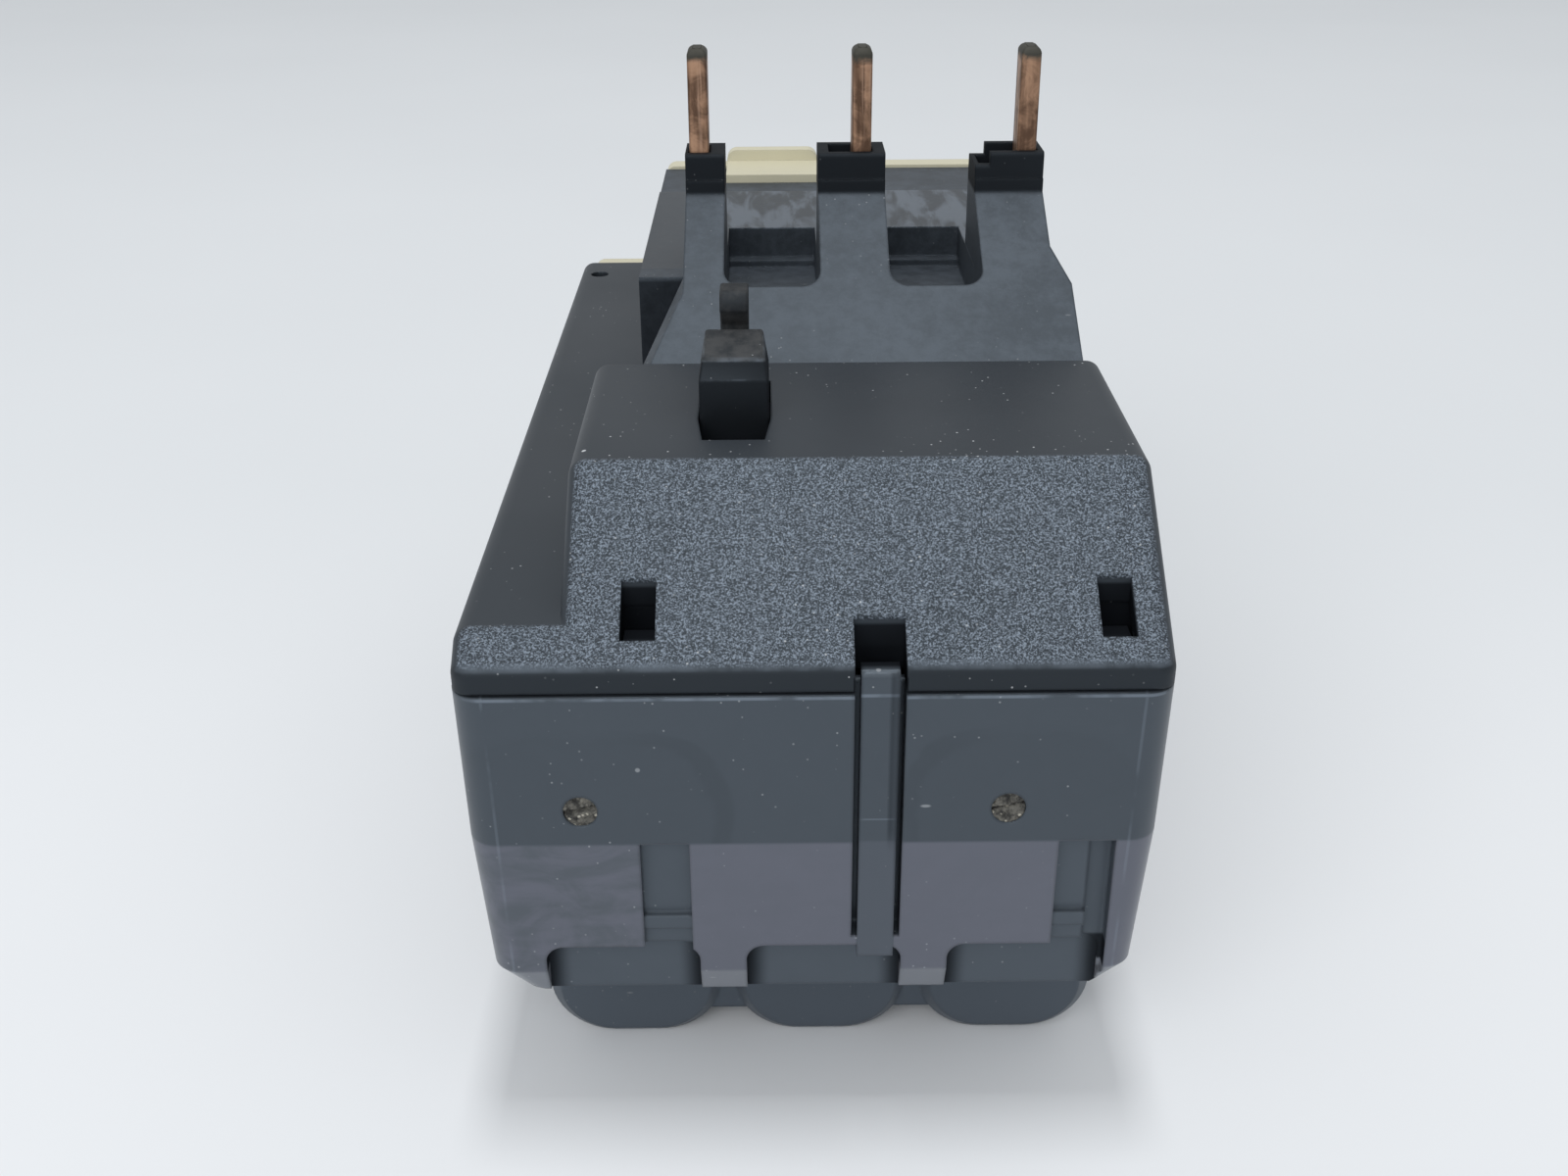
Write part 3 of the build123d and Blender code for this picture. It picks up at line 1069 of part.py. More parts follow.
def differential_lever():
    half_arm = ARM_WIDTH / 2
    lever = block(ARM_X - half_arm, ARM_X + half_arm, LEVER_STUD - 2 * STUD_R, LEVER_TIP,
                  LEVER_Z, LEVER_Z + SLIDE_THICK)
    lever = fillet(edges_along(lever, Axis.Z, lambda c: True), half_arm / 2)
    lever -= rod_z(ARM_X, LEVER_PIVOT, LEVER_Z - WALL, LEVER_Z + 2 * WALL, STUD_R + TURN_GAP)
    half_slot = STUD_R + FIT_GAP
    lever -= block(ARM_X - half_slot, ARM_X + half_slot, LEVER_STUD - 4 * STUD_R, LEVER_STUD + half_slot,
                   LEVER_Z - WALL, LEVER_Z + 2 * WALL)
    return lever


def strip_x():
    """Left face of the compensation strip, clear of the differential lever."""
    return ARM_X + ARM_WIDTH / 2 + SLIDE_SLOT_GAP


def trip_lever():
    hub_top = TRIP_HUB_BOTTOM_Z + TRIP_HUB_HEIGHT
    x = TRIP_PIVOT_X
    depth = TRIP_PIVOT_DEPTH
    half_push = PUSH_ARM_WIDTH / 2
    lever = rod_z(x, depth, TRIP_HUB_BOTTOM_Z, hub_top, TRIP_HUB_R)
    lever += block(PUSH_ARM_X, x, depth - half_push, depth + half_push,
                   TRIP_HUB_BOTTOM_Z, TRIP_HUB_BOTTOM_Z + TRIP_ARM_THICK)
    face = strip_x() + STRIP_THICK
    strip_start = LEVER_TIP - STRIP_LENGTH
    outline = ((face, strip_start), (face + TRIP_ARM_THICK, strip_start),
               (x + TRIP_ARM_REACH, depth - TRIP_ARM_REACH), (x, depth), (x - TRIP_ARM_REACH, depth),
               (face, LEVER_TIP))
    lever += plan_prism(outline, hub_top - TRIP_ARM_THICK, hub_top)
    return lever - rod_z(x, depth, 0, MAIN_TOP_Z, TRIP_POST_R + TURN_GAP)


def compensation_strip():
    hub_top = TRIP_HUB_BOTTOM_Z + TRIP_HUB_HEIGHT
    return block(strip_x(), strip_x() + STRIP_THICK, LEVER_TIP - STRIP_LENGTH, LEVER_TIP,
                 hub_top - TRIP_ARM_THICK, LEVER_Z + SLIDE_THICK)


# Cream front plate with openings for the dial, the buttons, the flag and the control screws
def plate_form():
    top = SEAM_Z + PLATE_TOP_RISE
    shoulder = SEAM_Z + PLATE_SHOULDER_RISE
    tab_left, tab_right = PLATE_TAB_SPAN
    plate = front_prism(((-PLATE_HALF_WIDTH, PLATE_BOTTOM_Z), (PLATE_HALF_WIDTH, PLATE_BOTTOM_Z),
                         (PLATE_HALF_WIDTH, shoulder), (PLATE_SHOULDER_X, shoulder), (PLATE_SHOULDER_X, top),
                         (-PLATE_HALF_WIDTH, top)), BODY_DEPTH, PLATE_FRONT)
    plate = fillet(edges_along(plate, Axis.Y, lambda c: c.Z > PLATE_BOTTOM_Z + PLATE_R), PLATE_R)
    lip = block(tab_left, tab_right, BODY_DEPTH, BODY_DEPTH + WALL, top - WALL, SEAM_Z + PLATE_TAB_RISE)
    plate += fillet(edges_along(lip, Axis.Y, lambda c: c.Z > top), PLATE_R)
    tongue_z = BLOCK_Z - FRONT_STEP_DROP
    return plate + block(tab_left, tab_right, PLATE_TAB_START, BODY_DEPTH,
                         tongue_z, tongue_z + PLATE_TAB_THICK)


def front_plate():
    back = BODY_DEPTH - WALL
    front = PLATE_FRONT + WALL
    plate = plate_form() - reset_opening(back, front) - flag_window(back, front)
    plate -= rod_y(DIAL_X, DIAL_Z, PLATE_FRONT - DIAL_RECESS_DEPTH, front, DIAL_R + DIAL_RECESS_GAP)
    plate -= rod_y(DIAL_X, DIAL_Z, back, PLATE_FRONT, DIAL_SHAFT_R + TURN_GAP)
    plate -= rod_y(STOP_X, CONTROL_Z, back, front, STOP_R + FIT_GAP)
    half_pocket = CONTROL_POCKET_WIDTH / 2
    for x in CONTROL_XS:
        plate -= block(x - half_pocket, x + half_pocket, back, front, PLATE_BOTTOM_Z - WALL, CONTROL_TOP_Z)
    for z0, z1 in hinge_lug_spans():
        lug = block(HINGE_X - HINGE_KNUCKLE_R, HINGE_X + HINGE_KNUCKLE_R, PLATE_FRONT - WALL / 2,
                    hinge_depth() + HINGE_LUG_PROUD, z0, z1)
        plate += lug - rod_z(HINGE_X, hinge_depth(), z0 - WALL, z1 + WALL, HINGE_PIN_R)
    return plate


def hinge_depth():
    return PLATE_FRONT + COVER_STAND_OFF + COVER_DEPTH / 2


def hinge_lug_spans():
    low = SEAM_Z + COVER_LOW_RISE
    high = SEAM_Z + COVER_HIGH_RISE
    return ((low, low + HINGE_LUG_HEIGHT), (high - HINGE_LUG_HEIGHT, high))


# Clear cover over the dial, swinging on an upright steel pin
def hinge_pin():
    return rod_z(HINGE_X, hinge_depth(), SEAM_Z + COVER_LOW_RISE, SEAM_Z + COVER_HIGH_RISE,
                 HINGE_PIN_R)


def clear_cover():
    left = HINGE_X + HINGE_TO_COVER
    right = COVER_RIGHT
    back = PLATE_FRONT + COVER_STAND_OFF
    low = SEAM_Z + COVER_LOW_RISE
    high = SEAM_Z + COVER_HIGH_RISE
    shell = block(left, right, back, back + COVER_DEPTH, low, high)
    shell = fillet(edges_along(shell, Axis.Y, lambda c: c.X > left + PLATE_R), PLATE_R)
    shell -= block(left + COVER_SKIN, right - COVER_SKIN, back - WALL, back + COVER_DEPTH - COVER_SKIN,
                   low + COVER_SKIN, high - COVER_SKIN)
    lower_lug, upper_lug = hinge_lug_spans()
    knuckle_low = lower_lug[1] + FIT_GAP
    knuckle_high = upper_lug[0] - FIT_GAP
    knuckle_r = COVER_DEPTH / 2 - FIT_GAP
    knuckle = rod_z(HINGE_X, hinge_depth(), knuckle_low, knuckle_high, knuckle_r)
    knuckle += block(HINGE_X, left + COVER_SKIN, hinge_depth(), hinge_depth() + knuckle_r,
                     knuckle_low, knuckle_high)
    return shell + knuckle - rod_z(HINGE_X, hinge_depth(), low, high, HINGE_PIN_R + TURN_GAP)


# Setting dial with its shaft, and the cam on the shaft
def setting_dial():
    head_back = PLATE_FRONT - DIAL_RECESS_DEPTH + FIT_GAP
    head_front = PLATE_FRONT + DIAL_PROUD
    head = rod_y(DIAL_X, DIAL_Z, head_back, head_front, DIAL_R)
    head = chamfer(head.edges().sort_by(Axis.Y)[0], DIAL_PROUD)
    slot = block(DIAL_X - DIAL_SLOT_WIDTH / 2, DIAL_X + DIAL_SLOT_WIDTH / 2, head_front - DIAL_SLOT_DEPTH,
                 head_front + WALL, DIAL_Z - DIAL_SLOT_REACH, DIAL_Z + DIAL_SLOT_REACH)
    shaft = rod_y(DIAL_X, DIAL_Z, BULKHEAD_START - CAM_THICK - FIT_GAP, head_back, DIAL_SHAFT_R)
    return head + shaft - slot


def dial_cam():
    cam_front = BULKHEAD_START - FIT_GAP
    cam = rod_y(DIAL_X + CAM_OFFSET, DIAL_Z, cam_front - CAM_THICK, cam_front, CAM_R)
    return cam - rod_y(DIAL_X, DIAL_Z, cam_front - CAM_THICK - WALL, cam_front + WALL, DIAL_SHAFT_R)


# Push buttons and their return springs
def button_stem(x):
    collar_front = BODY_DEPTH - WALL - FIT_GAP
    stem = rod_y(x, CONTROL_Z, STEM_END, BODY_DEPTH + FIT_GAP, STEM_R)
    return stem + rod_y(x, CONTROL_Z, collar_front - COLLAR_THICK, collar_front, COLLAR_R)


def stop_button():
    cap = rod_y(STOP_X, CONTROL_Z, BODY_DEPTH + STOP_TRAVEL + FIT_GAP, PLATE_FRONT + BUTTON_PROUD, STOP_R)
    cap = chamfer(cap.edges().sort_by(Axis.Y)[0], STOP_CHAMFER)
    return button_stem(STOP_X) + cap + rod_y(STOP_X, CONTROL_Z, BODY_DEPTH, PLATE_FRONT, STEM_R)


def reset_button():
    half_reset = RESET_SIZE / 2
    back = BODY_DEPTH - RESET_POCKET + FIT_GAP + RESET_TRAVEL
    cap = block(RESET_X - half_reset, RESET_X + half_reset, back,
                PLATE_FRONT + BUTTON_PROUD, CONTROL_Z - half_reset, CONTROL_Z + half_reset)
    cap = fillet(cap.faces().sort_by(Axis.Y)[0].edges(), RESET_EDGE_R)
    return button_stem(RESET_X) + cap + rod_y(RESET_X, CONTROL_Z, BODY_DEPTH, PLATE_FRONT, STEM_R)


def button_spring(x):
    start = BULKHEAD_START + BULKHEAD_THICK
    end = BODY_DEPTH - WALL - FIT_GAP - COLLAR_THICK
    run = end - start - BUTTON_SPRING_WIRE
    path = Helix(pitch=run / BUTTON_SPRING_TURNS, height=run, radius=BUTTON_SPRING_R)
    profile = Plane(origin=path @ 0, z_dir=path % 0) * Rectangle(BUTTON_SPRING_WIRE, BUTTON_SPRING_WIRE)
    coil = sweep(profile, path=path, is_frenet=True)
    return Pos(x, y(start + BUTTON_SPRING_WIRE / 2), CONTROL_Z) * Rot(90, 0, 0) * coil


# Trip flag behind its window, riding on the base's front deck
def trip_flag():
    back = BODY_DEPTH - WALL - FIT_GAP - FLAG_THICK
    flag = block(FLAG_X - FLAG_WIDTH / 2, FLAG_X + FLAG_WIDTH / 2, back, back + FLAG_THICK,
                 SEAM_Z + FIT_GAP, SEAM_Z + FLAG_HEIGHT)
    return fillet(edges_along(flag, Axis.Y, lambda c: c.Z > SEAM_Z + FLAG_R), FLAG_R)


# Calibration screws behind their sealing plugs
def in_seal_hole(x, start, length, radius):
    return rod_y(x, SEAM_Z - SEAL_DROP, start, start + length, radius)


def sealing_plug(x):
    return in_seal_hole(x, PLUG_START, PLUG_LENGTH, SEAL_HOLE_R)


def calibration_screw(x):
    return in_seal_hole(x, PLUG_START + PLUG_LENGTH, CALIBRATION_SCREW_LENGTH, CALIBRATION_SCREW_R)


save("base_housing", base_housing())
save("rear_cover", rear_cover())
save("pin_carrier", pin_carrier())
save("contactor_hook", contactor_hook())
save("front_plate", front_plate())
save("clear_cover", clear_cover())
save("hinge_pin", hinge_pin())
save("setting_dial", setting_dial())
save("dial_cam", dial_cam())
save("stop_button", stop_button())
save("reset_button", reset_button())
save("stop_spring", button_spring(STOP_X))
save("reset_spring", button_spring(RESET_X))
save("trip_flag", trip_flag())
for name, x in zip(PIN_NAMES, PIN_XS):
    save(name, plug_pin(x))
sides = ("right", "middle", "left")
for side, pole_x, x, pin_x, travel in zip(sides, POLE_XS, BIMETAL_XS, PIN_XS, PIN_TRAVELS):
    save(f"bimetal_strip_{side}", bimetal(x))
    save(f"heater_winding_{side}", heater_winding(x, pin_x, travel))
    save(f"output_strap_{side}", output_strap(pole_x, x))
save("insulating_sleeves", *[insulating_sleeve(x) for x in BIMETAL_XS])
save("power_clamp_saddles", *[power_saddle(x) for x in POLE_XS])
save("power_terminal_screws", *[power_screw(x) for x in POLE_XS])
for name, x in zip(CONTROL_NAMES, CONTROL_XS):
    save(name, control_plate(x))
save("control_clamp_washers", *[control_washer(x) for x in CONTROL_XS])
save("control_terminal_screws", *[control_screw(x) for x in CONTROL_XS])
save("contact_carriage", contact_carriage())
save("nc_contact_bridge", contact_bridge(-1))
save("no_contact_bridge", contact_bridge(1))
save("snap_spring", snap_spring())
save("trip_slide", trip_slide())
save("differential_slide", differential_slide())
save("differential_lever", differential_lever())
save("trip_lever", trip_lever())
save("compensation_strip", compensation_strip())
save("sealing_plugs", *[sealing_plug(x) for x in SEAL_XS])
save("calibration_screws", *[calibration_screw(x) for x in SEAL_XS])
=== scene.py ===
import json
from math import cos, pi, radians, sin

import bmesh
import bpy
from mathutils import Matrix, Vector, noise


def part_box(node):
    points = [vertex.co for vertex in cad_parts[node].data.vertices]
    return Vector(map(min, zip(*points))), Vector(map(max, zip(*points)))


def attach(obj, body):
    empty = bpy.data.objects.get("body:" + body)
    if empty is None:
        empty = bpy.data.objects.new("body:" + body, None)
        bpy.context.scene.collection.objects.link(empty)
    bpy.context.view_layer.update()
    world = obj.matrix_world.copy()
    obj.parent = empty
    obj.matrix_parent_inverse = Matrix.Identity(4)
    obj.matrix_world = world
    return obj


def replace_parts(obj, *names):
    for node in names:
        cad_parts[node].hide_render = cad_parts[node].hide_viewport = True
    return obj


# Three-pole thermal overload relay, seen from its rear and a little above.
# Pieces are in metres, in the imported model's own frame; MM turns millimetres into metres.
MM = 0.001
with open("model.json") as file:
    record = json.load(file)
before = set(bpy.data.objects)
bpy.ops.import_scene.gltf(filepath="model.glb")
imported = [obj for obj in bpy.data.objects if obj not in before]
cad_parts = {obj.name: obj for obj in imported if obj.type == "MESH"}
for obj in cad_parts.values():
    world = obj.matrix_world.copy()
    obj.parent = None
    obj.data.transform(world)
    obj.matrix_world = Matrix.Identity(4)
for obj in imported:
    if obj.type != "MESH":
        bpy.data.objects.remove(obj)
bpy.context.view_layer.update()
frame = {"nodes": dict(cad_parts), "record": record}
NODES = frame["nodes"]
BODY_OF = {node: body for body, members in frame["record"]["behaviour"]["bodies"].items() for node in members}
SLOT_OF = {part["node"]: part["material_slot"] for part in frame["record"]["subparts"]}

# Camera and light
CAMERA_PLACE = (2.28 * MM, 131.98 * MM, 84.67 * MM)
CAMERA_PITCH = 26.79
CAMERA_YAW = -0.31
CAMERA_ROLL = 0.35
CAMERA_LENS = 38.05
SENSOR_WIDTH = 36.0
SKY_COLOUR = (0.965, 0.985, 1.0, 1.0)
SKY_STRENGTH = 0.56
KEY_PLACE = (0.0, -0.04, 1.2)
KEY_SIZE = (0.12, 0.26)
KEY_POWER = 4.65
FILL_PLACE = (0.25, 0.75, 0.55)
FILL_SIZE = (0.9, 0.6)
FILL_POWER = 4.0

# Places on the mouldings that the finishes and pieces follow, in millimetres and degrees
SLOPE_DEG = 36.0
SLOPE_LOW = (44.25, 34.8)
GRAIN_FOOT_Z = (34.75, 35.1)
SKIRT_Z = (35.0, 34.6)
TOP_EDGE_Z = (43.3, 43.5)
CREASE_X = 20.1
CREASE_LEAN = 0.0165
CREASE_LOW_Z = 11.4
RECESS_Y = 43.95
POCKET_Y = 42.85
POLE_MIDDLE_X = -0.7
POLE_PITCH = 13.4
POCKET_TOP_Z = 13.6
TONGUE_X = -4.1
TONGUE_LINE_Z = 23.7
WIPE_MARKS = ((14.6, 24.0, 8.9, 6.3), (-13.6, 23.6, 7.5, 6.9))
HOOK_X = 5.05
HOOK_LIP_Z = (46.42, 47.58)
HOOK_NOSE_Z = (48.7, 48.9)
TOWER_Z = (52.0, 52.5)
BLOCK_TOP_Z = 46.6
BLOCK_BACK_Y = 0.6
BLOCK_STREAK_Y = -30.5
PIN_TOP_Z = 63.55
SLOT_XS = (10.85, -18.9)
# dark sheets behind the snap slots, put in as painted shade
SHADE_SHEET_HALF_WIDTH = 1.9
SHADE_SHEET_Y = (38.5, 38.9)
PLUG_Y = 44.02
DIAL_TICKS = 13
DIAL_SWEEP = 250.0
TICKS_PER_NUMBER = 3
CONTROL_TURNS = (8, -21, 35, -4)
POWER_TURNS = (-14, 27, 3)
FIRST_NUMBER = 4
FLOOR_NEAR_Y = 25.0
FLOOR_FAR_Y = -75.0


def place_camera():
    lens = bpy.data.cameras.new("photo_camera")
    lens.lens = CAMERA_LENS
    lens.sensor_width = SENSOR_WIDTH
    lens.clip_start = 0.001
    camera = bpy.data.objects.new("photo_camera", lens)
    turn = Matrix.Rotation(pi + radians(CAMERA_YAW), 4, "Z")
    tilt = Matrix.Rotation(pi / 2 - radians(CAMERA_PITCH), 4, "X")
    roll = Matrix.Rotation(-radians(CAMERA_ROLL), 4, "Z")
    camera.matrix_world = Matrix.Translation(CAMERA_PLACE) @ turn @ tilt @ roll
    bpy.context.scene.collection.objects.link(camera)
    bpy.context.scene.camera = camera


def soft_lamp(name, place, aim, size, power):
    lamp = bpy.data.lights.new(name, "AREA")
    lamp.shape = "RECTANGLE"
    lamp.size, lamp.size_y = size
    lamp.energy = power
    made = bpy.data.objects.new(name, lamp)
    made.location = place
    made.rotation_euler = (Vector(aim) - Vector(place)).to_track_quat("-Z", "Y").to_euler()
    bpy.context.scene.collection.objects.link(made)


def light_scene():
    world = bpy.data.worlds.new("studio")
    world.use_nodes = True
    world.node_tree.nodes["Background"].inputs["Color"].default_value = SKY_COLOUR
    world.node_tree.nodes["Background"].inputs["Strength"].default_value = SKY_STRENGTH
    bpy.context.scene.world = world
    soft_lamp("ceiling_panel", KEY_PLACE, (0, 0.02, 0), KEY_SIZE, KEY_POWER)
    soft_lamp("window_light", FILL_PLACE, (0, 0.05, 0), FILL_SIZE, FILL_POWER)
    bpy.context.scene.view_settings.view_transform = "Standard"


# Shader recipes
class Value:
    """A shader socket; sums and products of values add their own Math nodes."""

    def __init__(self, finish, socket):
        self.finish = finish
        self.socket = socket

    def maths(self, operation, *values):
        return self.finish.add("ShaderNodeMath", {"operation": operation}, dict(enumerate(values))).out(0)

    def __add__(self, other):
        return self.maths("ADD", self, other)

    def __mul__(self, other):
        return self.maths("MULTIPLY", self, other)

    def __sub__(self, other):
        return self.maths("SUBTRACT", self, other)

    def __rsub__(self, other):
        return self.maths("SUBTRACT", other, self)

    def __gt__(self, other):
        return self.maths("GREATER_THAN", self, other)

    def __lt__(self, other):
        return self.maths("LESS_THAN", self, other)

    def __abs__(self):
        return self.maths("ABSOLUTE", self)

    def power(self, exponent):
        return self.maths("POWER", self, exponent)

    def wrap(self, high, low):
        return self.maths("WRAP", self, high, low)

    __radd__ = __add__
    __rmul__ = __mul__

    def step(self, low, high):
        """0 at low, 1 at high and smooth between them; low may be the larger."""
        if low > high:
            return 1 - self.step(high, low)
        return self.finish.add("ShaderNodeMapRange", {"interpolation_type": "SMOOTHSTEP"},
                               {"Value": self, "From Min": low, "From Max": high}).out("Result")

    def either(self, other):
        return self.maths("MAXIMUM", self, other)

    def near(self, middle, reach):
        """1 at the middle, falling to 0 at the reach on both sides."""
        return abs(self - middle).step(reach, reach * 0.4)


class Finish:
    """One material, built up from nodes that are each added by the same method."""

    def __init__(self, name):
        self.material = bpy.data.materials.new(name)
        self.material.use_nodes = True
        self.tree = self.material.node_tree
        self.tree.nodes.clear()
        self.place = self.add("ShaderNodeTexCoord").out("Object")

    def add(self, kind, settings=None, sockets=None):
        node = self.tree.nodes.new(kind)
        for name, setting in (settings or {}).items():
            setattr(node, name, setting)
        for name, value in (sockets or {}).items():
            if isinstance(value, Value):
                self.tree.links.new(value.socket, node.inputs[name])
            else:
                node.inputs[name].default_value = value
        return Node(self, node)

    def axes(self):
        """The place on the piece in millimetres, as three values."""
        split = self.add("ShaderNodeSeparateXYZ", sockets={0: self.place})
        return [split.out(name) * (1 / MM) for name in "XYZ"]

    def stretched(self, stretch):
        return self.add("ShaderNodeMapping", sockets={"Vector": self.place, "Scale": stretch}).out(0)

    def noise(self, scale, detail=2.0, rough=0.5, place=None, warp=0.0):
        return self.add("ShaderNodeTexNoise", sockets={
            "Vector": place or self.place, "Scale": scale, "Detail": detail, "Roughness": rough,
            "Distortion": warp}).out(0)

    def cells(self, scale, place=None):
        """Distance to the nearest cell centre, and a number that differs from cell to cell."""
        node = self.add("ShaderNodeTexVoronoi", sockets={"Vector": place or self.place, "Scale": scale})
        pick = self.add("ShaderNodeSeparateColor", sockets={0: node.out("Color")}).out(0)
        return node.out("Distance"), pick

    def specks(self, scale, size, share, place=None):
        """Round specks: a share of the cells gets one, size is in parts of a cell."""
        distance, pick = self.cells(scale, place)
        return distance.step(size, size * 0.6) * (pick > 1 - share)

    def mix(self, share, first, second):
        """Blends two colours."""
        return self.add("ShaderNodeMix", {"data_type": "RGBA"}, {0: share, 6: first, 7: second}).out(2)

    def relief(self, height, depth, strength=1.0, edge=None):
        """Bump of a given depth in metres, over edges that look rounded to the edge radius."""
        sockets = {"Strength": strength, "Distance": depth, "Height": height}
        if edge:
            sockets["Normal"] = self.add("ShaderNodeBevel", {"samples": 4}, {"Radius": edge}).out(0)
        return self.add("ShaderNodeBump", sockets=sockets).out(0)

    def finish(self, sockets, dull=None):
        """Closes the material; where dull is above 0 the surface is mixed towards a matte near-black: painted
        shade in slots, recesses and faces turned from the light, and a slightly duller finish elsewhere.
        """
        surface = self.add("ShaderNodeBsdfPrincipled", sockets=sockets).out(0)
        if dull:
            # painted shade: a matte near-black diffuse that the dull factor mixes in
            grime_and_shade = self.add("ShaderNodeBsdfDiffuse", sockets={"Color": SHADE_BLACK}).out(0)
            surface = self.add("ShaderNodeMixShader", sockets={0: dull, 1: surface, 2: grime_and_shade}).out(0)
        self.add("ShaderNodeOutputMaterial", sockets={"Surface": surface})
        return self.material


class Node:
    def __init__(self, finish, node):
        self.finish = finish
        self.node = node

    def out(self, name):
        return Value(self.finish, self.node.outputs[name])


BLACK_TINT = (0.84, 1.0, 1.22)
BLACK_SHEEN = (0.84, 1.0, 1.16, 1.0)
# matte near-black that the dull factor mixes in as painted shade
SHADE_BLACK = (0.006, 0.007, 0.009, 1.0)
DUST = (0.5, 0.52, 0.54, 1.0)
# dark brown mixed into the screws' drive recesses as painted shade
RECESS_SHADE = (0.05, 0.045, 0.04, 1.0)
ZINC = (0.46, 0.46, 0.44)
DULL_ZINC = (0.3, 0.28, 0.25)


def black(grey):
    """The slightly cool black of the mouldings at a given strength."""
    return tuple(grey * tint for tint in BLACK_TINT) + (1.0,)


def screw_row(node_name, count):
    """First screw's middle x, the heads' face y, the row's z, the head radius and the distance apart."""
    low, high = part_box(node_name)
    radius = (high[2] - low[2]) / 2
    pitch = (high[0] - low[0] - 2 * radius) / (count - 1)
    return low[0] + radius, low[1], (low[2] + high[2]) / 2, radius, pitch


def dust_specks(f, amount):
    """Fine specks everywhere, a few larger flecks, and short fibres lying across."""
    clusters = f.noise(110.0, 3.0, 0.6).step(0.4, 0.62) * amount
    fine = f.specks(1500.0, 0.13, 0.45) * clusters
    flecks = f.specks(260.0, 0.05, 0.22)
    fibres = f.specks(420.0, 0.07, 0.1, f.stretched((0.35, 1.0, 1.0)))
    return fine.either(flecks * amount).either(fibres * amount)


def cover_moulding():
    """Rear cover: spark-eroded grain on the slope with painted glints, satin on the skirt and the flat tops,
    painted shade inside the openings and a painted highlight along the skirt's top edge.
    """
    f = Finish("cover_moulding")
    x, y, z = f.axes()
    across, up = sin(radians(SLOPE_DEG)), cos(radians(SLOPE_DEG))
    off_slope = y * across + z * up - (SLOPE_LOW[0] * across + SLOPE_LOW[1] * up)
    grained = abs(off_slope).step(0.3, 0.12) * z.step(*GRAIN_FOOT_Z)
    slots = abs(x - SLOT_XS[0]).step(1.3, 1.2).either(abs(x - SLOT_XS[1]).step(1.3, 1.2))
    openings = (slots * z.step(35.3, 35.5)).either(abs(x - TONGUE_X).step(1.72, 1.66))
    # inside the slots and the tongue opening: painted shade, mixed in by the dull factor below
    inner = off_slope.step(-0.35, -0.6) * openings * y.step(37.5, 38.5)
    grit = f.noise(7400.0, 2.0, 0.8)
    clumps = f.noise(2600.0, 2.0, 0.6)
    # pale specks in the grain colour are painted glints; the grain itself is real texture
    grain_glints = (grit * 0.85 + clumps * 0.15).step(0.43, 0.66)
    mottle = f.noise(120.0, 3.0, 0.6)
    wiped = f.noise(34.0, 3.0, 0.55).step(0.4, 0.7)
    skirt = z.step(*SKIRT_Z)
    plain = f.mix(mottle, black(0.022), black(0.032))
    plain = f.mix(skirt * 0.8, plain, black(0.008))
    grain = f.mix(grain_glints, black(0.016), black(0.25))
    colour = f.mix(grained, plain, grain)
    # painted highlight along the rounded edge between slope and skirt, broken up by noise
    skirt_edge_highlight = z.near(34.9, 0.35) * y.step(43.6, 43.9) * f.noise(420.0, 3.0, 0.6).step(0.3, 0.65)
    colour = f.mix(skirt_edge_highlight * 0.5, colour, black(0.12))
    top_edge = z.step(*TOP_EDGE_Z) * y.step(20.0, 31.0)
    dust = dust_specks(f, 0.7 + top_edge * 0.3 + skirt * 0.2)
    corner_dust = f.specks(1900.0, 0.13, 0.5) * x.step(-4.0, -11.0) * top_edge * y.step(24.0, 29.0)
    dust = dust.either(corner_dust * f.noise(180.0, 3.0, 0.6).step(0.4, 0.6) * 0.8)
    colour = f.mix(dust, colour, DUST)
    height = grained * grit * 1.6 + grit * 0.12 + dust * 0.4
    # dull factor: darkens the skirt a little and paints shade inside the openings
    return f.finish({
        "Base Color": colour,
        "Roughness": 0.44 + grained * 0.1 + wiped * 0.06 + dust * 0.3,
        "IOR": 1.47, "Specular Tint": BLACK_SHEEN,
        "Normal": f.relief(height, 0.00005, 0.5, 0.25 * MM)}, (skirt * 0.2).either(inner * 0.85))


